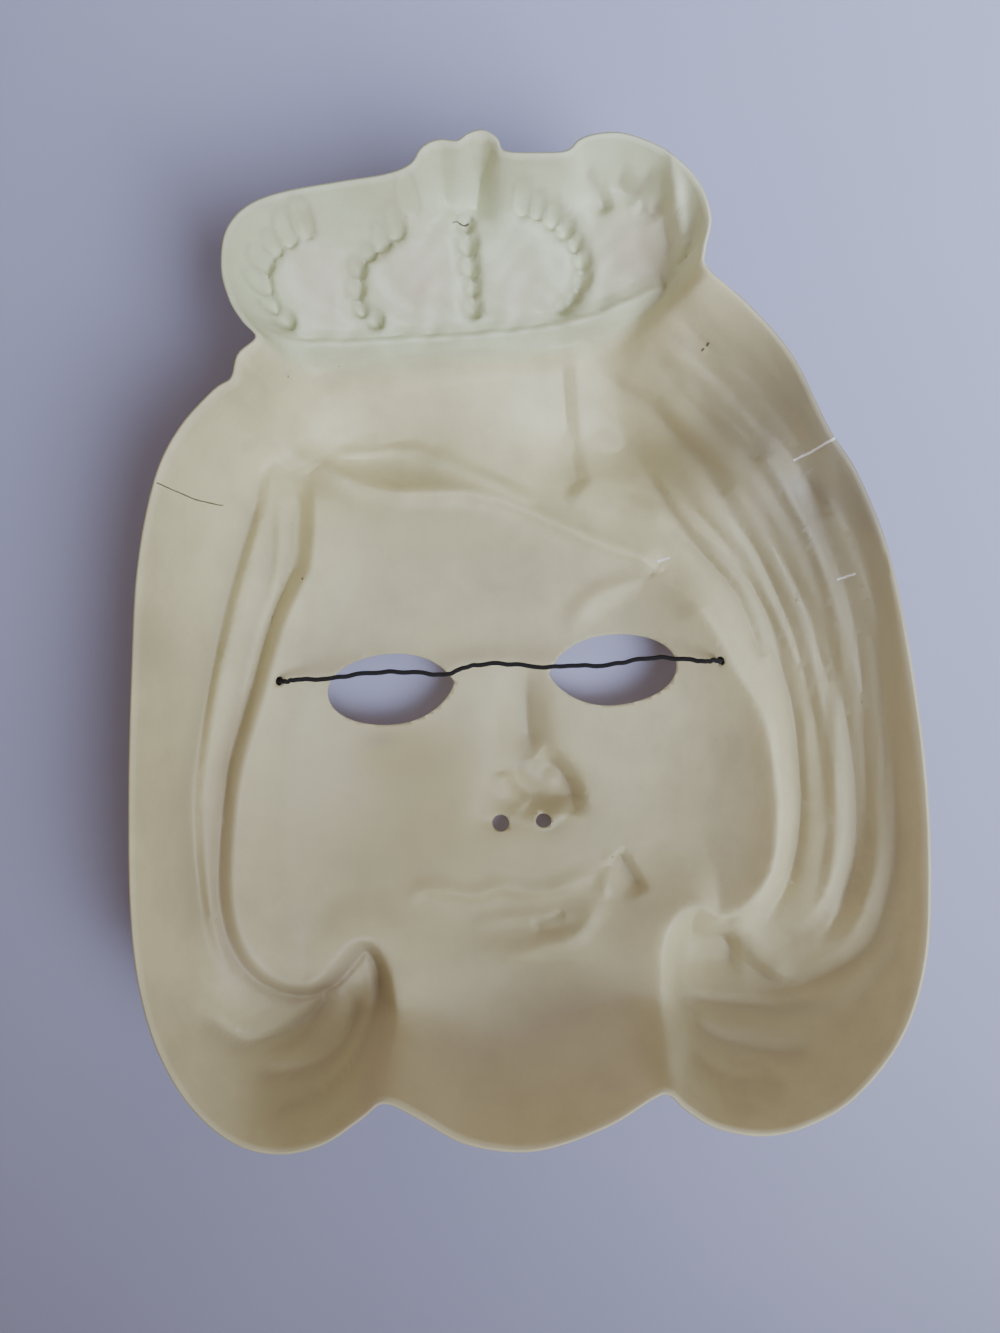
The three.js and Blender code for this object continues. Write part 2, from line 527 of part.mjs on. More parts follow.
function solidOf(geometry) {
  const bare = geometry.clone();
  bare.deleteAttribute('normal');
  bare.deleteAttribute('uv');
  const merged = mergeVertices(bare.index ? bare.toNonIndexed() : bare, 1e-4);
  return new wasm.Manifold(new wasm.Mesh({
    numProp: 3,
    vertProperties: new Float32Array(merged.attributes.position.array),
    triVerts: new Uint32Array(merged.index.array),
  }));
}

function geometryOf(solid) {
  const { vertProperties, triVerts } = solid.getMesh();
  const geometry = new THREE.BufferGeometry();
  geometry.setAttribute('position', new THREE.BufferAttribute(vertProperties, 3));
  geometry.setIndex(new THREE.BufferAttribute(triVerts, 1));
  return geometry;
}

// A cutter that passes straight through the sheet
function cutter(shape, x, y) {
  const geometry = new THREE.ExtrudeGeometry(shape, { depth: 2 * maskDepth, bevelEnabled: false });
  geometry.translate(x, y, -maskDepth / 2);
  return solidOf(geometry);
}

// Almond with a slightly pointed inner corner
function eyeShape(inward) {
  const w = eye.width / 2;
  const h = eye.height / 2;
  const shape = new THREE.Shape();
  shape.moveTo(-inward * w, 0);
  shape.bezierCurveTo(-inward * w, 0.62 * h, -inward * 0.55 * w, h, 0, h);
  shape.bezierCurveTo(inward * 0.5 * w, h, inward * 0.86 * w, 0.6 * h, inward * w, 0.06 * h);
  shape.bezierCurveTo(inward * 0.94 * w, -0.35 * h, inward * 0.55 * w, -h, 0, -h);
  shape.bezierCurveTo(-inward * 0.55 * w, -h, -inward * w, -0.62 * h, -inward * w, 0);
  return new THREE.Shape(shape.getPoints(6).slice(0, -1));
}

function roundShape(across, sides) {
  const shape = new THREE.Shape();
  for (let i = 0; i < sides; i++) {
    const a = (i / sides) * 2 * Math.PI;
    const method = i === 0 ? 'moveTo' : 'lineTo';
    shape[method]((across / 2) * Math.cos(a), (across / 2) * Math.sin(a));
  }
  shape.closePath();
  return shape;
}

// The strap's route from the left hole to the right one: it sags a little between the temples
const strapRoute = [
  [-60.7, 5.05, 24.3], [-59.3, 5, 24.7], [-56.5, 4.95, 24.5], [-49.3, 4.9, 23.2], [-42, 5.1, 22],
  [-33.6, 5.2, 20.8], [-25, 4.3, 19.8], [-18, 3.3, 19.2], [-13.6, 3.4, 18.9], [-9.5, 4.5, 18.7],
  [-4, 5, 18.6], [4, 4.2, 18.7], [12.9, 2.6, 19.1], [21, 2.1, 19.8], [28.9, 1.8, 20.8],
  [36, 2.2, 22], [43.3, 2.6, 23.5], [50.5, 1.4, 25.3], [55.6, 0.7, 26.9], [58.2, 0.4, 27.5],
  [59.8, 0.25, 27.2],
];

function templePlace({ at, axis }, distance) {
  const direction = new THREE.Vector3(...axis).normalize();
  return new THREE.Vector3(...at).addScaledVector(direction, distance);
}

function plastic(color) {
  return new THREE.MeshStandardMaterial({ color, roughness: 0.5, metalness: 0 });
}

function yarn() {
  return new THREE.MeshStandardMaterial({ color: '#191618', roughness: 0.95, metalness: 0 });
}

function named(name, geometry, material) {
  const mesh = new THREE.Mesh(geometry, material);
  mesh.name = name;
  return mesh;
}

function templeCutter(temple) {
  const shape = roundShape(strap.hole, 10);
  const length = 8;
  const geometry = new THREE.ExtrudeGeometry(shape, { depth: length, bevelEnabled: false });
  geometry.translate(0, 0, -length / 2);
  const up = new THREE.Vector3(0, 0, 1);
  const direction = new THREE.Vector3(...temple.axis).normalize();
  geometry.applyQuaternion(new THREE.Quaternion().setFromUnitVectors(up, direction));
  geometry.translate(...temple.at);
  return solidOf(geometry);
}

function maskShell() {
  const openings = [
    cutter(eyeShape(1), -eye.x, 0),
    cutter(eyeShape(-1), eye.x, 0),
    cutter(roundShape(nostril.across, 12), ...nostril.left),
    cutter(roundShape(nostril.across, 12), ...nostril.right),
    templeCutter(templeLeft),
    templeCutter(templeRight),
  ];
  let shell = solidOf(sheetGeometry(fitSheet()));
  for (const opening of openings) shell = shell.subtract(opening);
  return named('mask_shell', geometryOf(shell), plastic('#d3cdb4'));
}

function elasticCord() {
  const curve = new THREE.CatmullRomCurve3([
    templePlace(templeLeft, -strap.pastHole),
    templePlace(templeLeft, 0.2),
    templePlace(templeLeft, 1.3),
    ...strapRoute.map((p) => new THREE.Vector3(...p)),
    templePlace(templeRight, 1.2),
    templePlace(templeRight, 0.2),
    templePlace(templeRight, -strap.pastHole),
  ]);
  curve.arcLengthDivisions = 1000;
  const steps = Math.round(curve.getLength() / (2 * strap.across));
  const section = roundShape(strap.across, strap.sides);
  return named('elastic_cord', new THREE.ExtrudeGeometry(section, { steps, extrudePath: curve }), yarn());
}

function elasticKnot(name, temple) {
  const geometry = new THREE.SphereGeometry(strap.knotRadius, 10, 7);
  const middle = templePlace(temple, -strap.pastHole - strap.gap - strap.knotRadius);
  geometry.translate(middle.x, middle.y, middle.z);
  return named(name, geometry, yarn());
}

const mask = new THREE.Group();
mask.add(maskShell());
mask.add(elasticCord());
mask.add(elasticKnot('elastic_knot_left', templeLeft));
mask.add(elasticKnot('elastic_knot_right', templeRight));

// The origin is under the middle of the rim's box
mask.position.set(-(rim.box[0] + rim.box[1]) / 2, -(rim.box[2] + rim.box[3]) / 2, 0);

export default mask;
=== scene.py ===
# A child's fairy mask of thin formed plastic, lying on its face with the hollow side up.
# Relief numbers are millimetres in the mask's drawing: origin midway between the eyes, +Y to the
# crown, depth measured down from the rim. Everything built in Blender is in metres.

import math

import bmesh
import bpy
import numpy as np
from mathutils import Matrix, Vector


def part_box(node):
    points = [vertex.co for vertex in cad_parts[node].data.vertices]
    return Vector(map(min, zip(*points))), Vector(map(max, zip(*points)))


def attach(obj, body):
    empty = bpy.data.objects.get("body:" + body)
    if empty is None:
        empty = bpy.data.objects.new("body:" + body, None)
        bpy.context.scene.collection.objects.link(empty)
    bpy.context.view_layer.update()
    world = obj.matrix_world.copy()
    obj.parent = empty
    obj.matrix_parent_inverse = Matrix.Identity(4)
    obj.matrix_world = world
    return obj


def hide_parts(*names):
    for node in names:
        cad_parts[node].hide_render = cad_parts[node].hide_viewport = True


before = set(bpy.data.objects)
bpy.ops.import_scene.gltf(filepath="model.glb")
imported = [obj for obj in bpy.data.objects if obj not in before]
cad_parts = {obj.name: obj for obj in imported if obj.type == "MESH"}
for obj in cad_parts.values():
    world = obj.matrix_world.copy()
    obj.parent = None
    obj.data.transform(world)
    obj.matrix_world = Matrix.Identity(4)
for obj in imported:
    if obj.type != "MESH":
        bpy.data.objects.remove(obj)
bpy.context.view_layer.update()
mm = 0.001

# camera: straight down over the hollow
view = {
    "aboveRim": 290,        # mm from the lens to the rim
    "over": (-0.2, 3.9),    # drawing point below the lens
    "roll": 5.0,            # degrees that the mask is turned in the picture
    "focalPixels": 1150,
    "picture": (1000, 1333),
    "sensor": 36.0,
}

sheet = {
    "thickness": 0.8,
    "depth": 56,
    "faceDepth": 46,
    "crownDepth": 38,
    "edgeRound": 0.6,       # forming rounds every edge to about this radius
    "grid": 1.3,            # first mesh size, before the relief asks for more
    "lip": 4,               # the band along the rim is built as rings
    "lipRings": 6,
    "gridGap": 0.3,         # the grid ends this far short of that band
    "gridMerge": 0.4, "ringMerge": 0.2,         # points closer than this become one
    "tolerance": 0.05, "refinings": 2,          # how far the mesh may miss the relief
    "punchLength": 120, "strapPunchLength": 8,
    "eyeAt": 32, "eyeSize": (36.4, 20.6),
    "nostrils": [((-4, -42), (5, 5)), ((8.6, -42.4), (4.6, 4.0))],
    "strapHole": 2.6,
    "rim": [
        (-54, 92), (-57, 96.5), (-59.8, 102), (-61.2, 110), (-59.5, 119), (-54, 124.8), (-45, 127.6),
        (-30, 129), (-18, 129.9), (-11.5, 132), (-8.4, 135.8), (-4.2, 137.4), (0.5, 136.7), (3.4, 138.3),
        (7.2, 138.9), (10.4, 136.6), (12, 133.2), (20, 132), (28, 131.8), (31.5, 134.4), (37, 135.5),
        (44, 134.5), (54, 129), (60.3, 121), (62.4, 112), (60.2, 104), (60.6, 99.5), (70, 89.5),
        (80, 75.5), (87.5, 56.5), (94, 44), (100, 23.5), (103.2, -7), (104.2, -35), (102.8, -62),
        (99.5, -82), (92, -99), (79, -112.5), (66, -118.5), (55, -119.6), (44, -116.6), (37, -111.5),
        (32.8, -107.2), (28.5, -108), (18, -113.4), (4, -117.6), (-7, -118.2), (-20, -114.8),
        (-31, -107.4), (-39, -103.1), (-45, -106.5), (-55, -112), (-66, -113.6), (-77, -110.2),
        (-87, -100.5), (-94, -86.5), (-97.6, -70), (-98.2, -50), (-96.2, -22), (-92.9, 8), (-89, 36),
        (-82.8, 58), (-75.5, 70.5), (-66, 79.4), (-61.2, 82.2), (-59, 88),
    ],
}

# the broad form under the relief
form = {
    "middle": 2, "halfWidth": 80,       # deepest above this x
    "leftRise": 14, "rightRise": 20.4, "sideCurve": 2.5,
    "rightRim": 102, "rightBlend": (40, 75),    # past this the right side follows the rim
    "chin": {"from": -10, "reach": 100, "rise": 17, "curve": 3, "lessOnRight": 0.8},
    "crown": {"front": 95, "lean": 0.62, "sideRise": 11, "halfWidth": 60, "blend": (87, 97)},
    "crownBase": {"climbFrom": 20, "reach": 34, "climb": 7},
    "lumps": 0.5,               # unevenness of the crown's floor
    # at the upper right the hair climbs to the rim as one steep wall
    "wall": {"foot": 0.5, "slope": 1.3, "round": 4, "acrossBlend": (30, 60), "upBlend": (-20, 30)},
    "shallowest": 1,
    # width of the turned-up band along the rim
    "turnUp": {"left": 13, "leftLow": 5, "leftTop": -3, "right": 3.4, "rightTop": 3, "rightLow": 6},
    "turnBlend": {"right": (30, 75), "top": (75, 100), "low": (80, 105)},
    "turnCurve": 2.4,
}

# rounded swellings: centre, reach, extra depth, turn in degrees
swellings = [
    ((-36, 73), (30, 15), 12.4, 0),  # hair over the forehead
    ((40, 69), (28, 17), 14.2, 0),
    ((-64, -91), (24, 17), 12, 0),  # flip curls and their tips
    ((64, -93), (26, 18), 14, 0),
    ((-47, -84), (8, 13), 5, -15),
    ((49, -84), (9, 13), 6, 8),
    ((-2, -95), (27, 18), 9, 0),  # chin
    ((-42, -38), (28, 34), 5, 0),  # cheeks
    ((42, -36), (28, 34), 5, 0),
    ((-2, -66), (30, 16), 4, 0),  # mouth
    ((0, -70), (21, 8), 2.6, 0),
    ((-32, 1), (26, 13), -3, 0),  # eye sockets
    ((32, 1), (26, 13), -3, 0),
    ((4, -20), (9, 19), 3.6, 4),  # nose
    ((6.5, -33.5), (11, 7.5), 7, 0),
    ((-6, -40), (5, 4), 2, 0),
    ((-6.4, 132.5), (6.6, 6.5), 6.5, 0),  # finial and crumpled top
    ((4.6, 132), (6, 6.6), 10, 0),
    ((40, 128), (12, 6), 3, 0),
]

# lines of relief: points, extra depth, reach and sharpness to the left and to the right of travel,
# and the shares of its two ends that fade
faceLeft = [
    (-53, 67), (-48.4, 56), (-50.2, 38.7), (-54.2, 30.4), (-58.6, 22.2), (-62.4, 12.6), (-65.8, 3.1),
    (-69.9, -7.7), (-73.3, -17.1), (-75.6, -26.6), (-77.7, -40.2), (-78.6, -53.9), (-76.6, -66.2),
    (-71.5, -76), (-65, -80.6), (-59, -79.6), (-54.4, -75.5), (-48.6, -70.6), (-42.6, -72),
    (-38.8, -80), (-37.4, -91.8), (-38.9, -103),
]
faceRight = [
    (46, 26.8), (54.9, 17.9), (60, 8.9), (64.6, -2.2), (70.9, -17.2), (72.3, -33.9), (71.9, -44.9),
    (69.3, -58.1), (63, -67.5), (55.5, -71.5), (49.7, -68.3), (43.4, -71.4), (39.2, -79.5),
    (37, -92.8), (34, -106),
]
seams = [
    (faceLeft, -6, (14, 2), (5.2, 1), (0.06, 0.02)),
    (faceRight, -7, (8, 1.2), (18, 2.2), (0.1, 0.02)),
    # hairline, and the roll of hair above it
    ([(-49.5, 69), (-41.5, 63.2), (-33.3, 59.1), (-24.7, 56.9), (-13.1, 55.9), (-4.5, 54.9), (6.8, 50.8),
      (20.6, 43.1), (31.6, 36.8), (42.4, 31.6), (48, 26.5)], -2.6, (7, 1.3), (4.4, 1.6), (0.1, 0.06)),
    ([(-44.2, 71.2), (-23.8, 70.8), (-12.4, 66.3), (4.4, 56.1), (14.1, 50.3)],
     -1.1, (3.5, 1.3), (3, 1.3), (0.2, 0.2)),
    # where the side hair leaves the roll below the crown
    ([(-64, 83), (-59.5, 77.2), (-55, 71.2), (-49.8, 66.3)], -3.2, (6, 1.2), (4.4, 1), (0, 0.15)),
]
dents = [
    # long dent up the forehead, kinked at its foot
    ([(29.8, 92.5), (29.8, 85.3), (30.2, 71), (31.2, 59.1), (31.3, 55.3), (24.1, 48.7)],
     -2.4, (12, 1.2), (3.4, 1), (0.06, 0.1)),
    # fold in the right end of the crown
    ([(54, 131), (55.2, 122.4), (57, 112.6), (57.6, 107)], -8, (5, 1), (1.6, 1), (0, 0.1)),
    # between the two bulbs of the finial
    ([(0.4, 137.5), (-0.1, 134.5), (-0.3, 130)], -2, (3, 1.2), (3, 1.2), (0, 0.6)),
    # crumpled corner beside the fold
    ([(33.5, 131.5), (37.6, 127.5), (39, 122)], 2.4, (2, 1), (5, 1), (0.1, 0.2)),
    ([(41.4, 130.5), (45.8, 126.5), (51.4, 128.5)], 2.6, (2, 1), (3.4, 1), (0.15, 0.15)),
    ([(47, 123.5), (50.5, 120.5), (52.6, 123.5)], 2, (1.8, 1), (2.6, 1), (0.2, 0.2)),
    # roll below the left end of the crown
    ([(-66.5, 81), (-62.6, 85.4), (-57.5, 86.5)], -1.6, (3, 1), (4, 1.2), (0.1, 0.2)),
    # narrow groove along the left side hair
    ([(-79, 19), (-85, -3.5), (-89, -25), (-89.6, -40), (-88.6, -60)], 1.2, (2, 1), (3, 1), (0.2, 0.2)),
    # dents beside the mouth and in the nose
    ([(23.1, -66.5), (26, -60.1), (28.8, -54)], -1.3, (3, 1.3), (2, 1), (0.2, 0.12)),
    ([(29.2, -53.4), (31.6, -57.6), (35.6, -65)], 3, (2.4, 1), (7, 1), (0.12, 0.2)),
    ([(-1.7, -27), (-1.2, -31), (1.4, -35.2), (4, -38.4)], -2, (2.2, 1), (4, 1), (0.15, 0.1)),
    ([(2.6, -26), (8.6, -30.5), (15, -31)], -1.4, (3, 1), (4, 1), (0.2, 0.2)),
]
mouthAndBrow = [
    # bridge, wing and base of the nose
    ([(7.5, 4), (7, -3.6), (6.5, -15.3), (7.4, -24)], 3.6, (7.5, 1.5), (9, 1.3), (0.35, 0.25)),
    ([(9, -22.5), (12.6, -25.6), (16.2, -30.6), (18, -36.4), (17.6, -41.6)],
     4.4, (4, 1), (8, 1.4), (0.2, 0.25)),
    ([(-9.5, -38), (-4.5, -39.6), (0, -40.3), (5, -42), (9.2, -43), (13.7, -40.5), (17.6, -38.4)],
     -1.5, (4, 1), (1.8, 1), (0.15, 0.15)),
    # lips
    ([(-33.5, -61.6), (-27.5, -58.9), (-20.4, -60.5), (-13, -62.4), (-5.8, -60.6), (2, -62.6),
      (10, -62.6), (22.7, -58.3)], -1.5, (4, 1.6), (2.6, 1.3), (0.15, 0.2)),
    ([(-16, -71), (-2, -70.2), (12, -71.4), (20, -67)], -1, (4, 1.6), (3, 1.4), (0.3, 0.25)),
    ([(2.4, -72.6), (8, -71.6), (12.6, -70.2)], 1.3, (1.3, 1), (4, 1), (0.2, 0.2)),
    ([(-12, -78), (-1.7, -79.9), (5.6, -78.8), (13, -77.1), (18.6, -72.7), (22.6, -65.6)],
     -1.7, (3.4, 1.3), (4.4, 1.6), (0.3, 0.15)),
    ([(-7.6, -81.1), (3.9, -81.8), (20, -81.8)], -0.6, (1.6, 1), (1.6, 1), (0.2, 0.3)),
    # brow
    ([(19.9, 11.7), (27.3, 20.6), (38.3, 24.6), (50.9, 25.3)], -1.6, (5, 1.6), (6, 1.6), (0.2, 0.2)),
]
crownBands = [
    ([(-57.5, 97.5), (-45.1, 96.8), (-34.3, 96.6), (-20.3, 96.9), (2.2, 96.6), (19.2, 96.8), (36.1, 98.4),
      (53.6, 103)], -3.4, (4.4, 1.2), (2.6, 1), (0.02, 0.02)),
    ([(-57, 85.5), (-48.7, 90.4), (-35.1, 93), (-20.9, 93.8), (2, 93.8), (24.8, 93.2), (33.5, 93.6)],
     -1.4, (1.6, 1), (3.4, 1.2), (0.05, 0.1)),
]
curlLocks = [
    # right curl: the inner hair runs in under the tip, then the strokes below it
    ([(57.5, -73.5), (61.5, -79), (66.3, -85.2), (74, -91)], -3.6, (9, 1.3), (3.4, 1), (0.15, 0.2)),
    ([(57.4, -76), (59.2, -82.8), (59.4, -91)], 2.6, (2.6, 1), (10, 1.2), (0.2, 0.25)),
    ([(41.6, -92), (46.8, -96.6), (57.8, -98.4), (71.3, -98.1), (84, -94)],
     1.9, (2.2, 1), (4, 1), (0.15, 0.2)),
    ([(43.4, -98.3), (46.3, -102.2), (50.8, -105.4), (58.5, -107.1), (68.9, -107.9), (79.2, -104.6)],
     1.9, (2.4, 1), (4.4, 1), (0.12, 0.2)),
    ([(41.1, -104), (46, -109.3), (51.9, -112.4), (60.7, -113.3), (70, -111)],
     1.8, (2, 1), (3.4, 1), (0.12, 0.2)),
    # left curl
    ([(-90.5, -80), (-85.4, -88), (-79.4, -94), (-72.2, -94.6), (-65.5, -92.6), (-60.7, -89),
      (-58.2, -84)], 2.6, (2, 1), (5, 1.2), (0.15, 0.15)),
    ([(-79.4, -97.8), (-75.2, -101), (-67.1, -103.2), (-58.4, -102), (-52.4, -97.5), (-50.2, -91),
      (-51.4, -85)], 2.4, (1.8, 1), (4.4, 1.2), (0.15, 0.15)),
    ([(-76, -106), (-67.2, -107.6), (-57.5, -106), (-49.3, -100.5), (-45.2, -93.5), (-43.9, -86),
      (-44.4, -78.7)], 2.2, (2.2, 1), (4, 1.2), (0.15, 0.12)),
]
# locks of hair, drawn from the crown down: points, depth, gentle side, steep side, how much fades in
rightLocks = [
    ([(45, 56), (53.8, 47.5), (62.6, 38.3), (70.2, 27.4), (75, 14.2), (78.4, -0.4), (80.6, -16.1),
      (80.9, -31.4), (79.8, -46.1), (75.8, -61.6), (68.5, -73)], 4.2, 6.4, 5, 0.5),
    ([(49.5, 43), (58.1, 33), (65.7, 22.7), (70.3, 11.7), (73.4, 0)], 1.3, 3.4, 1.8, 0.2),
    ([(62, 46), (71.2, 33.5), (79, 16), (83.2, -2), (85.7, -20), (86, -42), (83.7, -57), (79.7, -69)],
     1, 3.4, 1.6, 0.7),
    ([(66.2, 51.4), (76.6, 35.5), (83.2, 19.3), (88.8, 3.6), (92, -13.4), (93.2, -29.8), (92.9, -43.3),
      (91.2, -57), (87.3, -69.4), (81, -79.4)], 3.6, 5.4, 3, 0.85),
    ([(74.5, 58.8), (83.3, 44.2), (89, 29), (93.2, 14.2), (95.5, -2.7), (96.2, -19.1), (95.7, -37.9),
      (93.8, -54.2), (89.8, -67.7), (84, -78.9)], 1.5, 2.2, 2, 0.8),
    ([(70, 44), (79.5, 26), (85.6, 8), (89, -8)], 0.6, 2, 1.4, 0.2),
    ([(64, 88), (73, 79.5), (81, 68.5), (87.6, 55.7), (93.4, 39.3), (98, 20), (101.2, 1.1),
      (101.9, -19.3), (101.7, -40.4), (100.4, -53.9), (97, -67.3), (92.4, -78.8), (85.4, -87),
      (77, -92.6), (70, -94.6), (62, -95)], 2.4, 4, 3, 0.8),
    ([(54.5, 93), (63.5, 84), (71.5, 76), (78.6, 65), (84.6, 51), (89.4, 36)], 1.6, 7, 2.6, 0.12),
    ([(48, 88), (60, 78), (68.5, 66.5), (76, 53)], 1.2, 5, 2, 0.12),
    ([(36, 88), (50, 76), (60, 62), (68, 47)], 1, 5, 2, 0.12),
]
leftLocks = [
    ([(-64, 71.7), (-66.3, 56.9), (-70.7, 44.2), (-74.6, 33.1), (-78.5, 20.8), (-82, 8.6), (-85, -3.5),
      (-87.3, -14.2), (-89, -25), (-89.6, -38.7), (-89.4, -52.6), (-88.2, -63.7), (-86, -74.2)],
     4.2, 6, 3.2, 0.12),
    ([(-61.7, 60), (-62, 45), (-65, 31.1), (-69, 20.1), (-72.5, 9.1), (-75.6, -2), (-79, -14),
      (-81.5, -30)], 1.5, 3, 2, 0.12),
    ([(-56, 58), (-57.2, 43.5), (-60.2, 32.3), (-64.6, 22.6), (-69, 11), (-72.6, 0), (-76.5, -12)],
     1.4, 2.6, 1.8, 0.12),
]
# folds inside the two curls
curlFolds = [
    ([(-79.1, -96.1), (-73.6, -97.3), (-67.5, -96.7), (-63.6, -94.1), (-61, -90.4), (-56.1, -85)],
     1, (4, 1.2), (3, 1), (0.2, 0.15)),
    ([(-78.9, -100.8), (-72.3, -104.6), (-65.4, -105.8), (-58.8, -104.1), (-52.5, -100.7)],
     0.8, (5, 1.2), (4, 1), (0.2, 0.2)),
    ([(-83.3, -86.5), (-78.5, -90), (-73.2, -90.2), (-67, -87.5), (-58.1, -78.8)],
     -0.9, (3, 1), (3, 1.2), (0.25, 0.2)),
    ([(50, -108.2), (55.9, -109.9), (61.9, -111.2), (67.7, -111.5)], 1.1, (4, 1.2), (3, 1), (0.2, 0.25)),
    ([(59.7, -108.5), (66.7, -107.8), (75.2, -105.7)], 0.9, (4, 1.2), (3, 1), (0.25, 0.2)),
    ([(45.9, -112.7), (51.2, -115.4), (58.6, -116)], 1, (5, 1.2), (3, 1), (0.2, 0.25)),
    ([(41.7, -94.9), (45.1, -98.6), (48.4, -101)], 0.9, (2, 1), (2, 1), (0.2, 0.2)),
    ([(55.9, -72.1), (62.4, -81.3), (67.5, -90.5), (74.5, -94.5)], 1.2, (3, 1.2), (4, 1), (0.2, 0.2)),
    ([(97.9, -68.1), (92.8, -79.4), (85.8, -89.8), (77.7, -96.7), (70.2, -97.8), (62.6, -94.7)],
     -1.1, (3, 1), (4, 1.2), (0.15, 0.2)),
    ([(92.6, -88.8), (85.2, -98.3), (76.9, -104.4)], 0.8, (3, 1.2), (3, 1), (0.25, 0.25)),
]
# finer strands across the steep right wall, from the crown down
strands = [
    [(46.7, 92.6), (51.8, 85.3), (56.8, 77.9), (61, 71.8), (65, 65.4), (67, 61.4), (68.9, 57.2)],
    [(54.1, 90.1), (59.2, 84.9), (64, 79.6), (67.9, 74), (71.4, 68.1), (74.5, 62.8), (77.4, 57.2)],
    [(34.3, 54.7), (48.3, 48.7), (54.6, 40.8), (62.5, 27.9), (70, 17.9), (75.3, 4.4), (80.4, -11.7)],
    [(54.9, 63.1), (61.6, 52.5), (67.3, 41), (73.9, 30), (78.9, 15.4), (83.5, 0.8), (85, -17.2)],
    [(64.5, 53.5), (71.3, 38.1), (76.7, 26.5), (81.2, 13.4), (85.4, -1), (87.4, -16.8), (85.5, -46)],
    [(66.4, 62.8), (73.8, 51.8), (79, 41.2), (84.1, 29.4), (87.8, 15.4), (89.9, 0.2), (90, -17.5)],
    [(75.2, 59.6), (83.1, 46.2), (88, 34.6), (92.6, 19.4), (95.4, 4.7), (96.3, -12.7), (95.7, -35.1)],
    [(84.9, 50.2), (90.6, 38.7), (95.2, 25), (98.6, 8.9), (99.6, -6.8), (99.3, -29.6), (96, -53.4)],
]
# long crisp edges of the locks from the crown down to the middle of the wall
longEdges = [
    [(50.8, 99.9), (60.3, 87), (69.4, 74.8), (75.5, 67.3), (84.9, 51.4), (90.7, 39.7), (95.5, 26.1),
     (99.3, 11.4)],
    [(54, 96.6), (63.1, 87.8), (73.1, 77.1), (81, 62.6), (86.5, 51.9), (92.5, 39.3), (97.9, 23.2),
     (100.4, 11.2)],
    [(47, 97), (58.5, 84.7), (71.3, 70.7), (80.4, 54.9), (86.7, 42.2), (92.3, 19.1)],
    [(45.9, 62.8), (55.4, 39.6), (68.2, 25.7), (76, 12.9), (80.2, -2.4), (84.4, -17.5)],
    [(49.9, 77.2), (60.6, 58.7), (66.2, 46.4), (75, 30.4), (80.7, 15.2), (86.4, 0), (90.3, -15.1)],
    [(59.2, 77.3), (70.4, 58.3), (77.1, 45.3), (83.2, 31.8), (88.7, 14), (91.8, -0.5)],
    [(69.3, 73.7), (78.3, 58.2), (85.6, 44.9), (90.8, 30.3), (95.3, 13.1), (98.5, -1.2), (99.4, -15.6)],
]
# the crown's wires: points, number of beads on each, their radius
beadArcs = [
    ([(-39.1, 125), (-46.8, 122), (-52.3, 117.7), (-54.5, 113.3), (-54, 107.9), (-48.5, 101.4)], 7, 2.9),
    ([(-15.5, 125), (-23, 120.6), (-28.5, 116.5), (-30.3, 111.8), (-30.3, 106.6),
      (-24.3, 101.8)], 7, 2.8),
    ([(0.6, 127), (1.3, 122.4), (1.1, 115), (1.3, 108.6), (0.6, 102)], 5, 3),
    ([(14.6, 127.2), (22.5, 124.4), (27.7, 120.2), (31.5, 114.6), (31.9, 108.9), (28.9, 104.6),
      (24.1, 101.6)], 9, 2.8),
]
bead = {
    "lone": (-13.5, 128, 3),    # centre and radius of the one bead beside the finial
    "depth": 3.6, "roundness": 0.85,
    "uneven": 0.35,             # how much the radii differ
    "wire": 2,                  # depth of the trough that carries the beads
    "gentle": 6, "steep": 4.4, "wireFade": 0.125,
    "ringShade": 0.7, "ringShadeReach": 0.45,     # painted shade in the groove round each bead
}

# cuts along the fine lines, in the same order
cuts = {
    "lock": (1.2, (3.2, 1.4), (1.2, 1), (0.1, 0.45)),       # where each lock meets the next
    "hairline": (-0.8, (3, 1.2), (1.2, 1), (0.08, 0.06)),   # with the roll above it
    "strand": (1.1, (3.6, 1.2), (1.2, 1), (0.15, 0.4)),
    "band": (-1, (1.2, 1), (2.6, 1.2), (0.04, 0.04)),
    "between": (0.6, (2, 1.2), (0.9, 1), (0.2, 0.25)),      # midway between two strands
    "edge": (1.3, (4.5, 1.3), (1.3, 1), (0.25, 0.12)),
    "hollow": (2.6, (11, 1.5), (2, 1), (0.3, 0.12)),
    "hair": ((1.7, 1.2), (0.8, 1), (0.15, 0.2)),
}
lockFade = 0.12                 # how much of a lock's lower end fades
fadeCurve = 0.7
sideHollow = {"points": 60, "beside": 4.6}      # the soft hollow left of the face
fineHair = {"points": 60, "count": 15, "spread": (0.05, 0.93), "depth": (0.3, 0.65), "starts": (0, 14),
            "ends": (44, 60), "seed": 4}


def smoothLine(points, perSpan=5, closed=False):
    # Catmull-Rom through the points
    p = np.array(points, float)
    if closed:
        p = np.vstack([p[-1], p, p[0], p[1]])
    else:
        p = np.vstack([2 * p[0] - p[1], p, 2 * p[-1] - p[-2]])
    t = np.arange(perSpan)[:, None] / perSpan
    spans = []
    for a, b, c, d in zip(p, p[1:], p[2:], p[3:]):
        spans.append(0.5 * (2 * b + (c - a) * t + (2 * a - 5 * b + 4 * c - d) * t**2
                            + (3 * b - a - 3 * c + d) * t**3))
    line = np.vstack(spans)
    return line if closed else np.vstack([line, p[-2]])


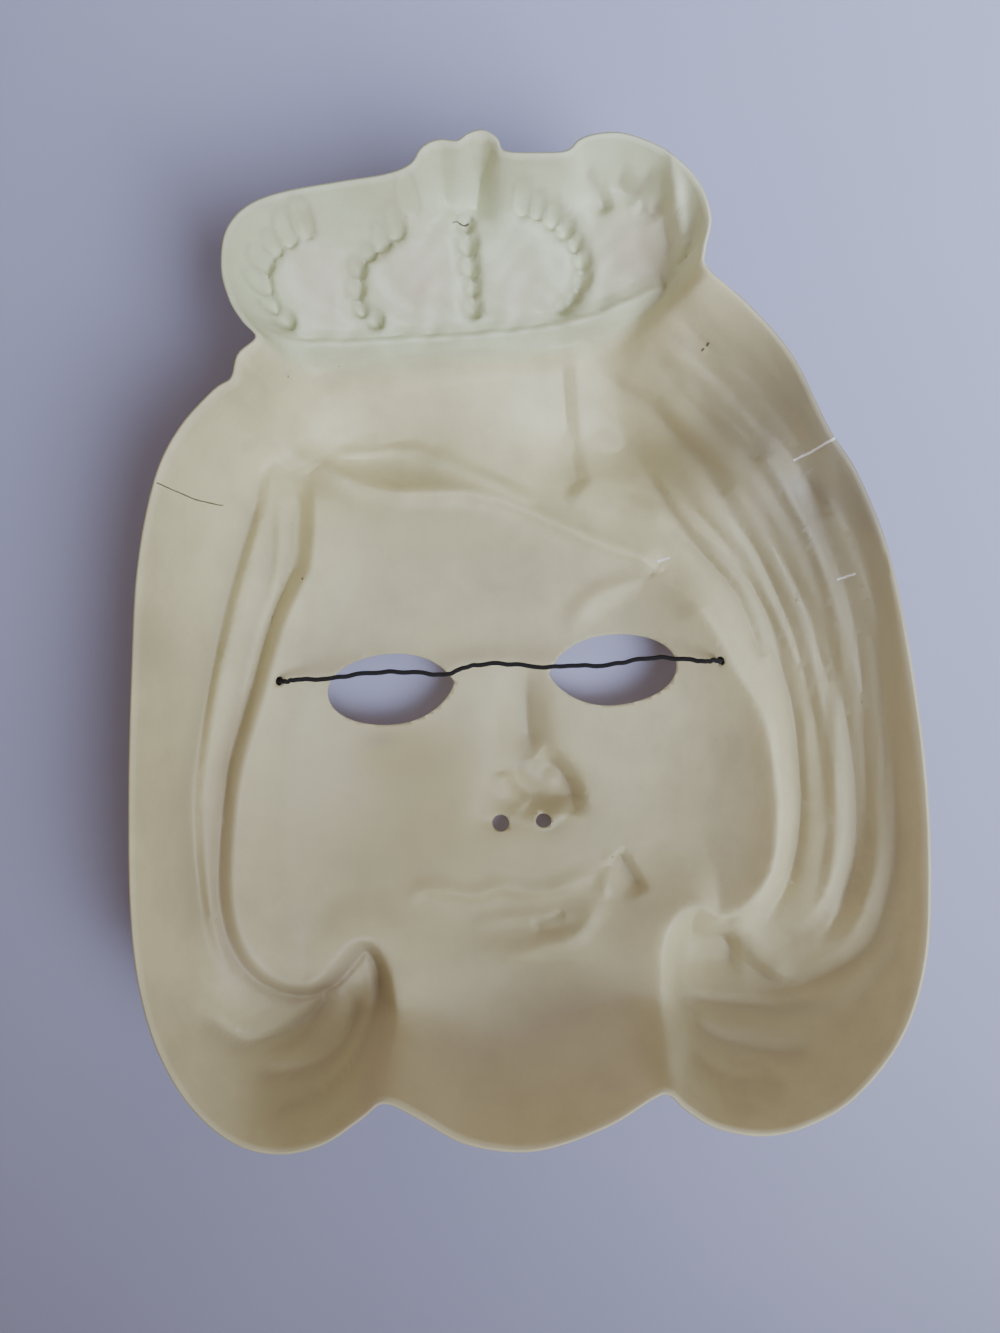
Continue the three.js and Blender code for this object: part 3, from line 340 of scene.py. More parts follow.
def nearLine(line, x, y):
    # distance to a line, whether it is to the left, and how far along from 0 to 1
    best = np.full(x.shape, np.inf)
    isLeft = np.ones(x.shape, bool)
    along = np.zeros(x.shape)
    start = 0.0
    for (ax, ay), (bx, by) in zip(line, line[1:]):
        length = math.hypot(bx - ax, by - ay)
        ux, uy = (bx - ax) / length, (by - ay) / length
        dx, dy = x - ax, y - ay
        a = np.clip(dx * ux + dy * uy, 0, length)
        gap = (dx - a * ux) ** 2 + (dy - a * uy) ** 2
        nearer = gap < best
        best = np.where(nearer, gap, best)
        isLeft = np.where(nearer, ux * dy - uy * dx >= 0, isLeft)
        along = np.where(nearer, start + a, along)
        start += length
    return np.sqrt(best), isLeft, along / start


def lengthAlong(line):
    return np.concatenate([[0], np.cumsum(np.hypot(*np.diff(line, axis=0).T))])


def pointsAt(line, at):
    # points at the given distances along a line
    far = lengthAlong(line)
    return np.column_stack([np.interp(at, far, line[:, 0]), np.interp(at, far, line[:, 1])])


def evenPoints(line, count):
    return pointsAt(line, np.linspace(0, lengthAlong(line)[-1], count))


def besideLine(line, away):
    # the same line moved to the right of its travel
    along = np.gradient(line, axis=0)
    along /= np.hypot(*along.T)[:, None]
    return line + away * np.column_stack([along[:, 1], -along[:, 0]])


rimLine = smoothLine(sheet["rim"], closed=True)
rimLoop = np.vstack([rimLine, rimLine[:1]])
rimLow, rimHigh = rimLine.min(0), rimLine.max(0)
rimMiddle = (rimLow + rimHigh) / 2
cadLow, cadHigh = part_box("mask_shell")
cadMiddle = ((cadLow + cadHigh) / 2).xy
toRow = Vector((cadMiddle.x - rimMiddle[0] * mm, cadMiddle.y - rimMiddle[1] * mm, 0))


def inRow(x, y, z=0):
    # a drawing point in millimetres as a place in the row frame in metres
    return Vector((x * mm, y * mm, z * mm)) + toRow


def insideLoop(loop, x, y):
    inside = np.zeros(x.shape, bool)
    for (x1, y1), (x2, y2) in zip(loop, loop[1:]):
        if y1 != y2:
            inside ^= ((y1 > y) != (y2 > y)) & (x < (x2 - x1) * (y - y1) / (y2 - y1) + x1)
    return inside


def smoothStep(v, low, high):
    t = np.clip((v - low) / (high - low), 0, 1)
    return t * t * (3 - 2 * t)


def lockLine(lock):
    # a lock is cut from its lower end up
    points, depth, gentle, steep, fadeIn = lock
    return (points[::-1], depth, (gentle, 1), (steep, 1), (lockFade, fadeIn))


def allCreases():
    lines = seams + dents + mouthAndBrow + crownBands + curlLocks
    lines += [lockLine(lock) for lock in rightLocks + leftLocks]
    lines += [(lock[0][::-1], *cuts["lock"]) for lock in rightLocks]
    lines += [(seam[0], *cuts["hairline"]) for seam in seams[2:4]]
    lines += [(points[::-1], *cuts["strand"]) for points in strands]
    lines += [(band[0], *cuts["band"]) for band in crownBands]
    for inner, outer in zip(strands[2:], strands[3:]):
        between = [((ax + bx) / 2, (ay + by) / 2) for (ax, ay), (bx, by) in zip(inner, outer)]
        lines.append((between[::-1], *cuts["between"]))
    lines += curlFolds
    lines += [(points[::-1], *cuts["edge"]) for points in longEdges]
    lines = [(smoothLine(points), *rest) for points, *rest in lines]
    lines.append((leftHollow, *cuts["hollow"]))
    return lines + fineHairs()


def fineHairs():
    # hairs from the parting to the right curl, each of its own length and depth
    inner = evenPoints(smoothLine(rightLocks[0][0]), fineHair["points"])
    outer = evenPoints(smoothLine(rightLocks[6][0]), fineHair["points"])
    random = np.random.default_rng(fineHair["seed"])
    hairs = []
    for t in np.linspace(*fineHair["spread"], fineHair["count"]):
        hair = inner * (1 - t) + outer * t
        first, last = random.integers(*fineHair["starts"]), random.integers(*fineHair["ends"])
        hairs.append((hair[first:last][::-1], random.uniform(*fineHair["depth"]), *cuts["hair"]))
    return hairs


def spreadBeads():
    spread = [bead["lone"]]
    for points, count, radius in beadArcs:
        line = smoothLine(points)
        at = (np.arange(count) + 0.5) / count * lengthAlong(line)[-1]
        for i, (x, y) in enumerate(pointsAt(line, at)):
            spread.append((x, y, radius + bead["uneven"] * math.sin(2 * i + count)))
    return spread


# the side hair overhangs the left of the face in a wide soft hollow
leftHollow = besideLine(evenPoints(smoothLine(faceLeft), sideHollow["points"]), sideHollow["beside"])
creases = allCreases()
beads = spreadBeads()


def aboveCrownBase(x, y):
    # the base of the crown climbs at its right end
    base = form["crownBase"]
    return y - base["climb"] * np.clip((x - base["climbFrom"]) / base["reach"], 0, None) ** 2


def dome(x, y, distance):
    chin, top, wall = form["chin"], form["crown"], form["wall"]
    toRight = smoothStep(x, *form["rightBlend"])
    far = (form["rightRim"] - distance) * toRight + (x - form["middle"]) * (1 - toRight)
    rise = np.where(x > form["middle"], form["rightRise"], form["leftRise"])
    side = rise * np.abs(far / form["halfWidth"]) ** form["sideCurve"]
    below = np.clip(-(y - chin["from"]) / chin["reach"], 0, None)
    low = chin["rise"] * below ** chin["curve"] * (1 - chin["lessOnRight"] * toRight)
    face = sheet["faceDepth"] - side - low
    over = face - (wall["foot"] + wall["slope"] * distance)
    steep = smoothStep(x, *wall["acrossBlend"]) * smoothStep(y, *wall["upBlend"])
    face = face - steep * (over + np.hypot(over, wall["round"])) / 2
    sides = ((x - form["middle"]) / top["halfWidth"]) ** 2
    crown = sheet["crownDepth"] - top["lean"] * (y - top["front"]) - top["sideRise"] * sides
    across, along = np.sin(0.55 * x + 1.7 * np.sin(0.3 * y)), np.sin(0.62 * y + 1.3 * np.sin(0.26 * x))
    lumps = form["lumps"] * across * along
    k = smoothStep(aboveCrownBase(x, y), *top["blend"])
    return np.maximum(face, form["shallowest"]) * (1 - k) + (crown + lumps) * k


def turnUpBand(x, y):
    # width of the band along the rim in which the sheet turns up
    band, blend = form["turnUp"], form["turnBlend"]
    right = smoothStep(x, *blend["right"])
    top = smoothStep(y, *blend["top"])
    low = smoothStep(-y, *blend["low"])
    onLeft = band["left"] + band["leftLow"] * low + band["leftTop"] * top
    onRight = band["right"] + band["rightTop"] * top + band["rightLow"] * low
    return onLeft * (1 - right) + onRight * right


def cutCreases(x, y, depth, grooveShade):
    for line, extra, (left, leftFall), (right, rightFall), ends in creases:
        reach = max(left, right)
        low, high = line.min(0) - reach, line.max(0) + reach
        near = np.flatnonzero((x > low[0]) & (x < high[0]) & (y > low[1]) & (y < high[1]))
        gap, isLeft, along = nearLine(line, x[near], y[near])
        rounded = np.hypot(gap, sheet["edgeRound"]) - sheet["edgeRound"]
        u = np.clip(rounded / np.where(isLeft, left, right), 0, 1)
        shape = (1 - u) ** np.where(isLeft, leftFall, rightFall)
        for fade, fromEnd in zip(ends, (along, 1 - along)):
            if fade > 0:
                shape *= np.clip(fromEnd / fade, 0, 1) ** fadeCurve
        depth[near] += extra * shape
        # deeper lines are painted darker along them: painted shade
        if extra > 0:
            grooveShade[near] = np.maximum(grooveShade[near], shape**3 * min(extra / 2, 1))


def cutBeads(x, y, depth, grooveShade):
    # troughs of the wires, the beads, and shade painted round every bead
    for points, _, _ in beadArcs:
        gap, isLeft, along = nearLine(smoothLine(points), x, y)
        u = np.clip(gap / np.where(isLeft, bead["steep"], bead["gentle"]), 0, 1)
        first, last = (np.clip(a / bead["wireFade"], 0, 1) for a in (along, 1 - along))
        depth += bead["wire"] * (1 - u * u) ** 2 * first * last
    ball = np.zeros(x.shape)
    for bx, by, r in beads:
        away = np.hypot(x - bx, y - by)
        ball = np.maximum(ball, 1 - (away / r) ** 2)
        ring = np.exp(-((away - r) / bead["ringShadeReach"]) ** 2)
        np.maximum(grooveShade, bead["ringShade"] * ring, out=grooveShade)
    depth += bead["depth"] * ball ** bead["roundness"]


def sheetDepth(x, y):
    # depth of the sheet's middle below the rim, and the shade that is painted into its grooves
    distance, _, _ = nearLine(rimLoop, x, y)
    depth = dome(x, y, distance)
    grooveShade = np.zeros(x.shape)
    for (cx, cy), (rx, ry), extra, turn in swellings:
        c, s = math.cos(math.radians(turn)), math.sin(math.radians(turn))
        u = ((x - cx) * c + (y - cy) * s) / rx
        v = ((y - cy) * c - (x - cx) * s) / ry
        depth += extra * np.exp(-(u * u + v * v))
    cutCreases(x, y, depth, grooveShade)
    cutBeads(x, y, depth, grooveShade)
    depth *= 1 - np.clip(1 - distance / turnUpBand(x, y), 0, 1) ** form["turnCurve"]
    return np.minimum(depth, sheet["depth"] - sheet["thickness"] / 2), grooveShade


def hexColor(text):
    # sRGB hex to the linear values that shaders take
    parts = [int(text[i:i + 2], 16) / 255 for i in (1, 3, 5)]
    return tuple(p / 12.92 if p <= 0.04045 else ((p + 0.055) / 1.055) ** 2.4 for p in parts) + (1,)


def join(material, source, node, name):
    # a source is a node, or a node and which of its outputs
    source, output = source if isinstance(source, tuple) else (source, 0)
    material.node_tree.links.new(source.outputs[output], node.inputs[name])


def addNode(material, kind, settings=None, links=None):
    # one node with its settings, and its links as {input: source}
    node = material.node_tree.nodes.new("ShaderNode" + kind)
    for name, value in (settings or {}).items():
        if isinstance(name, str) and hasattr(node, name) and name not in node.inputs:
            setattr(node, name, value)
        else:
            node.inputs[name].default_value = value
    for name, source in (links or {}).items():
        join(material, source, node, name)
    return node


def newMaterial(name):
    material = bpy.data.materials.new(name)
    material.use_nodes = True
    return material, material.node_tree.nodes["Principled BSDF"]


def addObject(name, data):
    made = bpy.data.objects.new(name, data)
    bpy.context.scene.collection.objects.link(made)
    return made


def pieceFrom(bm, name, materials):
    mesh = bpy.data.meshes.new(name)
    bm.to_mesh(mesh)
    bm.free()
    for material in materials:
        mesh.materials.append(material)
    return addObject(name, mesh)


# camera
def setCamera():
    data = bpy.data.cameras.new("photoCamera")
    camera = addObject("photoCamera", data)
    data.sensor_fit = "VERTICAL"
    data.sensor_height = view["sensor"]
    data.lens = view["sensor"] * view["focalPixels"] / view["picture"][1]
    data.clip_start = 0.01
    camera.location = inRow(*view["over"], sheet["depth"] + view["aboveRim"])
    camera.rotation_euler = (0, 0, -math.radians(view["roll"]))
    bpy.context.scene.camera = camera


setCamera()
print("camera set")


# strap
strap = {
    "diameter": 1.3,
    "left": ((-62.2, 5.2, 22.5), (0.55, -0.05, 0.83)),      # hole and the way the strap leaves it
    "right": ((61.3, 0.1, 25.5), (-0.55, -0.05, 0.83)),
    "pastHole": 0.7, "inHole": 0.2,
    "clear": {"left": 1.3, "right": 1.2},       # it runs straight this far
    "route": [
        (-60.7, 5.05, 24.3), (-59.3, 5, 24.7), (-56.5, 4.95, 24.5), (-49.3, 4.9, 23.2), (-42, 5.1, 22),
        (-33.6, 5.2, 20.8), (-25, 4.3, 19.8), (-18, 3.3, 19.2), (-13.6, 3.4, 18.9), (-9.5, 4.5, 18.7),
        (-4, 5, 18.6), (4, 4.2, 18.7), (12.9, 2.6, 19.1), (21, 2.1, 19.8), (28.9, 1.8, 20.8),
        (36, 2.2, 22), (43.3, 2.6, 23.5), (50.5, 1.4, 25.3), (55.6, 0.7, 26.9), (58.2, 0.4, 27.5),
        (59.8, 0.25, 27.2),
    ],
    "waver": (0.22, 0.18),      # the yarn wavers this much sideways and up
    "waverTurns": 44,           # radians of waver from end to end
    "calmEnds": 30,             # points in which the waver starts and dies
    "roughness": 0.95, "colors": ("#080708", "#1d1a1d"),
    "tuft": 0.3846, "tuftDepth": 0.2,       # tufts of the covering
}


def strapPath():
    # out of the left hole, across the hollow and into the right one
    ends = []
    for side in ("left", "right"):
        at, axis = strap[side]
        steps = (-strap["pastHole"], strap["inHole"], strap["clear"][side])
        ends.append([Vector(at) + Vector(axis).normalized() * step for step in steps])
    return [inRow(*p) for p in ends[0] + strap["route"] + ends[1][::-1]]


def strapMaterial():
    # covered elastic, spun and fuzzy: black that never shines
    material, shader = newMaterial("spunBlackElastic")
    shader.inputs["Roughness"].default_value = strap["roughness"]
    coords = addNode(material, "TexCoord")
    tufts = addNode(material, "TexNoise", {"Scale": 1 / (strap["tuft"] * mm), "Detail": 3},
                    {"Vector": (coords, "Object")})
    dark, light = (hexColor(c) for c in strap["colors"])
    color = addNode(material, "Mix", {"data_type": "RGBA", 6: dark, 7: light}, {0: tufts})
    join(material, (color, 2), shader, "Base Color")
    bump = addNode(material, "Bump", {"Strength": 0.8, "Distance": strap["tuftDepth"] * mm},
                   {"Height": tufts})
    join(material, bump, shader, "Normal")
    return material


def buildStrap():
    path = strapPath()
    curve = bpy.data.curves.new("elasticStrap", "CURVE")
    curve.dimensions = "3D"
    spline = curve.splines.new("POLY")
    fine = smoothLine([tuple(p) for p in path], 8)
    # the yarn wavers a little
    turn = np.linspace(0, strap["waverTurns"], len(fine))
    fromEnd = np.minimum(np.arange(len(fine)), np.arange(len(fine))[::-1])
    ends = np.clip(fromEnd / strap["calmEnds"], 0, 1)
    sideways, up = strap["waver"]
    fine[:, 1] += sideways * mm * ends * np.sin(turn + 1.4 * np.sin(2.7 * turn))
    fine[:, 2] += up * mm * ends * np.sin(1.3 * turn + np.sin(1.9 * turn))
    spline.points.add(len(fine) - 1)
    for point, p in zip(spline.points, fine):
        point.co = (*p, 1)
    curve.bevel_depth = strap["diameter"] / 2 * mm
    curve.bevel_resolution = 2
    curve.use_fill_caps = True
    piece = addObject("elastic_strap", curve)
    curve.materials.append(black)
    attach(piece, "root")
    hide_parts("elastic_cord")


black = strapMaterial()
buildStrap()
for name in ("elastic_knot_left", "elastic_knot_right"):
    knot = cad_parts[name]
    knot.data.materials.clear()
    knot.data.materials.append(black)


# shell
plastic = {
    "roughness": 0.52,
    "glow": ("#ecf4d0", 0.22, 0.36),    # light through it: colour, share in the hair and in the face
    "colors": {
        "cream": "#e5deb2", "crown": "#dae2bd", "aged": "#cabf8e", "brown": "#a69a82",
        # the grey and the pink-brown that follow the crown's pink are colours of painted shade: on the
        # walls, and in the hollow left of the face
        "pink": "#e0c4b2", "dust": "#a39d88", "pinkShade": "#b39c8c",
    },
    # patches that have yellowed: centre, reach, strength
    "aged": [
        ((3, -32), (20, 24), 0.7), ((-32, -18), (15, 9), 0.8), ((2, -68), (34, 17), 0.5),
        ((-38, -44), (30, 30), 0.7), ((-94, -30), (12, 60), 0.3), ((60, 62), (26, 22), 0.5),
    ],
    # patches of grey painted shade, low on the chin and curls and up the steep right wall, with one
    # negative patch that lifts it at the right curl's tip: centre, reach, strength
    "dust": [
        ((0, -104), (40, 14), 0.3), ((-62, -100), (30, 16), 0.35), ((62, -100), (34, 18), 0.4),
        ((98, -15), (9, 60), 0.35), ((89, 42), (19, 34), 1), ((74, 66), (22, 20), 0.6),
        ((47, -87), (10, 10), -0.3),
    ],
    "pink": [((-40, 111), (7, 9), 0.55), ((-13, 112), (8, 8), 0.6), ((47, 113), (9, 9), 0.55),
             ((15, 108), (6, 6), 0.3)],
    "stains": [
        ((-36.7, -14.3), (5, 2.2), 0.5), ((4.9, -21), (3, 4), 0.35), ((18, -107.6), (4, 2), 0.4),
        ((-90, 16), (5, 9), 0.45), ((12, -44), (3, 2), 0.4),
    ],
    "specks": [(61.6, 84.1), (62.6, 84.9), (-53.8, 33.5)],
    # torn edge, with the plastic gone white along it, and a dark split opposite
    "whiteCracks": [((81.9, 51.5), (85.2, 52.4)), ((85, 52.3), (89.4, 54)), ((47.3, 29.8), (50.9, 30.6)),
                    ((91, 19), (94.6, 20))],
    "darkCracks": [((-82.6, 57.6), (-77.9, 55.9)), ((-78, 55.95), (-73.5, 55.6)),
                   ((-2.6, 124.6), (1.8, 125.6))],
    "marks": {"dark": "#5a4a3c", "white": "#ffffff", "darkWidth": 0.35, "whiteWidth": 0.6, "speck": 0.36},
    "crackWaver": (0.6, 1.4286),        # how far a crack wavers, and over what length
    # patterns over the tint: size in mm, detail, roughness, where it starts and is full, strength, colour
    "clouds": (20.833, 6, 0.65, (0.42, 0.66), 0.5, "#beb791"),      # yellowing
    "handling": (1.1111, 3, 0.7, (0.64, 0.78), 0.35, "#9c9270"),    # rubbed-in dust and specks
    # slight waviness of a drawn sheet over a fine grain: size, detail, roughness, strength, depth
    "waves": (5.2632, 5, 0.55, 0.5, 0.25),
    "crownTint": (0.9, (88, 96)),       # strength, and the height over which it starts
    # painted shade along the soft hollow left of the face: strength, reach, where it starts and is full
    # along it
    "hollowShade": (0.5, 5, (0.2, 0.5)),
    # strength of the shade painted into the grooves and round the beads
    "grooveShadeStrength": 0.5,
    "underChin": [(-20, -118), (16, -114)],     # closes the outline of the face
    "thinned": (-6, 12),        # the sheet gets thinner from outside the face to inside it
}
paint = {
    "roughness": 0.4,
    "glow": ("#f6d8cc", 0.5, 0.92),
    "flesh": "#ecc4a6", "lips": "#c8504c", "hair": "#dcc083", "crown": "#c9cdd0", "blush": "#e29a88",
    "cheeks": [((-40, -42), (17, 15), 0.6), ((42, -42), (17, 15), 0.6)],
    "mouth": [((-2, -67), (17, 6), 1)],
    "hairBlend": 3,
    "crownBlend": (92, 96),
    "spatter": (0.7143, 2, 0.5, (0.62, 0.75), 0.4, plastic["colors"]["cream"]),
}


def thinSheet(name, finish):
    # thin enough that some light passes through, most where the sheet is drawn thinnest
    material, shader = newMaterial(name)
    shader.inputs["Roughness"].default_value = finish["roughness"]
    color, overHair, overFace = finish["glow"]
    glow = addNode(material, "BsdfTranslucent", {"Color": hexColor(color)})
    thinned = addNode(material, "Attribute", {"attribute_name": "thinned"})
    share = addNode(material, "MapRange", {"To Min": overHair, "To Max": overFace},
                    {"Value": (thinned, "Fac")})
    mixed = addNode(material, "MixShader", None, {0: share, 1: shader, 2: glow})
    join(material, mixed, material.node_tree.nodes["Material Output"], "Surface")
    return material, shader


def layPattern(material, coords, below, pattern):
    # a noise in one colour over what is below it
    size, detail, roughness, (low, high), most, color = pattern
    noise = addNode(material, "TexNoise", {"Scale": 1 / (size * mm), "Detail": detail,
                                           "Roughness": roughness}, {"Vector": (coords, "Object")})
    mask = addNode(material, "MapRange", {"From Min": low, "From Max": high, "To Max": most},
                   {"Value": noise})
    return addNode(material, "Mix", {"data_type": "RGBA", 7: hexColor(color)}, {0: mask, 6: below}), 2


def layMarks(material, below, color, marks):
    # each mark is a node that is 1 on it and 0 off it
    mix = {"data_type": "RGBA", 7: hexColor(color)}
    for mark in marks:
        below = addNode(material, "Mix", mix, {0: mark, 6: below}), 2
    return below


def crackMark(material, wavy, start, end, width):
    # a line between two drawing points
    a, b = inRow(*start), inRow(*end)
    length = (b - a).length
    along = (b - a).normalized()
    local = addNode(material, "VectorMath", {"operation": "SUBTRACT", 1: a}, {0: wavy})
    aside = (-along.y, along.x, 0)
    on = []
    for axis, middle, reach in ((along, length / 2, length / 2), (aside, 0, width / 2 * mm)):
        far = addNode(material, "VectorMath", {"operation": "DOT_PRODUCT", 1: axis}, {0: local})
        on.append(addNode(material, "Math", {"operation": "COMPARE", 1: middle, 2: reach}, {0: (far, 1)}))
    return addNode(material, "Math", {"operation": "MULTIPLY"}, {0: on[0], 1: on[1]})


def speckMark(material, wavy, at, radius):
    away = addNode(material, "VectorMath", {"operation": "DISTANCE", 1: inRow(*at)}, {0: wavy})
    return addNode(material, "Math", {"operation": "LESS_THAN", 1: radius * mm}, {0: (away, 1)})


def wavyCoords(material, coords):
    # coordinates that waver by a few tenths of a millimetre
    reach, size = plastic["crackWaver"]
    half = reach / 2 * mm
    flat = addNode(material, "VectorMath", {"operation": "MULTIPLY", 1: (1, 1, 0)},
                   {0: (coords, "Object")})
    waver = addNode(material, "TexNoise", {"Scale": 1 / (size * mm)}, {"Vector": flat})
    shift = addNode(material, "VectorMath", {"operation": "MULTIPLY_ADD", 1: (reach * mm, reach * mm, 0)},
                    {0: (waver, "Color"), 2: flat})
    return addNode(material, "VectorMath", {"operation": "SUBTRACT", 1: (half, half, 0)}, {0: shift})


def insidePlastic():
    # high impact styrene, vacuum formed and aged: satin, yellowed where it was handled
    material, shader = thinSheet("agedFormedStyrene", plastic)
    coords = addNode(material, "TexCoord")
    base = addNode(material, "Attribute", {"attribute_name": "insideTint"})
    for pattern in (plastic["clouds"], plastic["handling"]):
        base = layPattern(material, coords, base, pattern)
    wavy = wavyCoords(material, coords)
    look = plastic["marks"]
    dark = [crackMark(material, wavy, *ends, look["darkWidth"]) for ends in plastic["darkCracks"]]
    dark += [speckMark(material, wavy, at, look["speck"]) for at in plastic["specks"]]
    white = [crackMark(material, wavy, *ends, look["whiteWidth"]) for ends in plastic["whiteCracks"]]
    base = layMarks(material, base, look["dark"], dark)
    base = layMarks(material, base, look["white"], white)
    join(material, base, shader, "Base Color")
    size, detail, roughness, strength, depth = plastic["waves"]
    waves = addNode(material, "TexNoise", {"Scale": 1 / (size * mm), "Detail": detail,
                                           "Roughness": roughness}, {"Vector": (coords, "Object")})
    bump = addNode(material, "Bump", {"Strength": strength, "Distance": depth * mm}, {"Height": waves})
    join(material, bump, shader, "Normal")
    return material


def outsidePaint():
    # thin airbrushed lacquer: soft-edged zones of colour, satin, with the spatter of the spray
    material, shader = thinSheet("airbrushedLacquer", paint)
    coords = addNode(material, "TexCoord")
    zones = addNode(material, "Attribute", {"attribute_name": "outsideTint"})
    spattered = layPattern(material, coords, zones, paint["spatter"])
    join(material, spattered, shader, "Base Color")
    return material


def softly(mask, below, color):
    # lay a colour over another by a mask from 0 to 1
    mask = np.clip(mask, 0, 1)[:, None]
    return below * (1 - mask) + np.array(hexColor(color)) * mask


def patches(x, y, spots):
    total = np.zeros(x.shape)
    for (cx, cy), (rx, ry), strength in spots:
        total += strength * np.exp(-((x - cx) / rx) ** 2 - ((y - cy) / ry) ** 2)
    return total


def insideTint(x, y, grooveShade):
    colors = plastic["colors"]
    tint = np.tile(hexColor(colors["cream"]), (len(x), 1))
    tint = softly(patches(x, y, plastic["aged"]), tint, colors["aged"])
    strength, heights = plastic["crownTint"]
    tint = softly(strength * smoothStep(aboveCrownBase(x, y), *heights), tint, colors["crown"])
    # grey painted shade, low on the chin and curls and up the steep right wall
    tint = softly(patches(x, y, plastic["dust"]), tint, colors["dust"])
    tint = softly(patches(x, y, plastic["pink"]), tint, colors["pink"])
    # pink-brown painted shade along the soft hollow left of the face
    apart, _, along = nearLine(leftHollow, x, y)
    strength, reach, starts = plastic["hollowShade"]
    hollow = strength * np.exp(-(apart / reach) ** 2) * smoothStep(along, *starts)
    tint = softly(hollow, tint, colors["pinkShade"])
    # painted shade in the grooves and round the beads
    tint = softly(plastic["grooveShadeStrength"] * grooveShade, tint, colors["brown"])
    return softly(patches(x, y, plastic["stains"]), tint, colors["brown"])


def pastFace(x, y):
    # how far a point is inside the outline of the face, negative in the hair
    outline = smoothLine(faceLeft + plastic["underChin"] + faceRight[::-1] + seams[2][0][::-1])
    loop = np.vstack([outline, outline[:1]])
    apart, _, _ = nearLine(loop, x, y)
    return np.where(insideLoop(loop, x, y), apart, -apart)


def outsideTint(x, y):
    # the hidden side, in a plain design: flesh, lips, hair and a silver crown
    tint = np.tile(hexColor(paint["flesh"]), (len(x), 1))
    tint = softly(patches(x, y, paint["cheeks"]), tint, paint["blush"])
    tint = softly(2 * patches(x, y, paint["mouth"]) - 0.6, tint, paint["lips"])
    tint = softly(0.5 - pastFace(x, y) / paint["hairBlend"], tint, paint["hair"])
    return softly(smoothStep(aboveCrownBase(x, y), *paint["crownBlend"]), tint, paint["crown"])


def setTints(mesh):
    x, y = drawn(v.co - toRow for v in mesh.vertices)
    _, grooveShade = sheetDepth(x, y)
    for name, tint in (("insideTint", insideTint(x, y, grooveShade)), ("outsideTint", outsideTint(x, y))):
        attribute = mesh.attributes.new(name, "FLOAT_COLOR", "POINT")
        attribute.data.foreach_set("color", tint.ravel())
    thinned = mesh.attributes.new("thinned", "FLOAT", "POINT")
    thinned.data.foreach_set("value", smoothStep(pastFace(x, y), *plastic["thinned"]))


def drawn(places):
    # drawing coordinates in millimetres
    return np.array([place[:2] for place in places]).T / mm


def moveToRim(verts, apart):
    # points lie the given number of millimetres inside the rim
    _, _, along = nearLine(rimLoop, *drawn(v.co for v in verts))
    for v, (x, y) in zip(verts, pointsAt(rimLoop, along * lengthAlong(rimLoop)[-1])):
        edge = Vector((x * mm, y * mm, 0))
        inward = (v.co - edge) * Vector((1, 1, 0))
        v.co = edge + inward.normalized() * apart * mm if apart else edge


def setDepths(bm):
    depth, _ = sheetDepth(*drawn(v.co for v in bm.verts))
    for v, d in zip(bm.verts, depth):
        v.co.z = (sheet["depth"] - (0 if v.is_boundary else d)) * mm


def refine(bm):
    # edges that the relief bends away from are halved
    edges = list(bm.edges)
    mid = np.array([((e.verts[0].co + e.verts[1].co) / 2)[:] for e in edges]) / mm
    depth, _ = sheetDepth(mid[:, 0], mid[:, 1])
    away = np.abs(sheet["depth"] - depth - mid[:, 2])
    steep = np.array([abs(e.verts[0].co.z - e.verts[1].co.z) / e.calc_length() for e in edges])
    miss = away * np.sqrt(np.maximum(1 - steep * steep, 0.01))
    chosen = [e for e, far in zip(edges, miss) if far > sheet["tolerance"]]
    bmesh.ops.subdivide_edges(bm, edges=chosen, cuts=1, use_grid_fill=True)
    moveToRim([v for v in bm.verts if v.is_boundary], 0)
    setDepths(bm)
    print("  refined to", len(bm.verts), "points")


def sheetSurface():
    size = rimHigh - rimLow
    across, up = (int(cells) for cells in np.ceil(size / sheet["grid"]))
    bm = bmesh.new()
    bmesh.ops.create_grid(bm, x_segments=across, y_segments=up, size=0.5)
    bmesh.ops.scale(bm, vec=(*size * mm, 1), verts=bm.verts)
    bmesh.ops.translate(bm, vec=(*rimMiddle * mm, 0), verts=bm.verts)
    faces = list(bm.faces)
    centres = drawn(f.calc_center_median() for f in faces)
    apart, _, _ = nearLine(rimLoop, *centres)
    keep = insideLoop(rimLoop, *centres) & (apart > sheet["lip"] + sheet["gridGap"])
    bmesh.ops.delete(bm, geom=[f for f, k in zip(faces, keep) if not k], context="FACES")
    edge = [v for v in bm.verts if v.is_boundary]
    moveToRim(edge, sheet["lip"])
    bmesh.ops.remove_doubles(bm, verts=edge, dist=sheet["gridMerge"] * mm)
    nextToEdge = [v for v in bm.verts if not v.is_boundary
                  and any(e.other_vert(v).is_boundary for e in v.link_edges)]
    bmesh.ops.smooth_vert(bm, verts=nextToEdge, factor=0.5, use_axis_x=True, use_axis_y=True)
    for ring in range(1, sheet["lipRings"] + 1):
        made = bmesh.ops.extrude_edge_only(bm, edges=[e for e in bm.edges if e.is_boundary])
        fresh = [g for g in made["geom"] if isinstance(g, bmesh.types.BMVert)]
        moveToRim(fresh, sheet["lip"] * (1 - ring / sheet["lipRings"]))
        bmesh.ops.remove_doubles(bm, verts=fresh, dist=sheet["ringMerge"] * mm)
    setDepths(bm)
    for _ in range(sheet["refinings"]):
        refine(bm)
    return bm


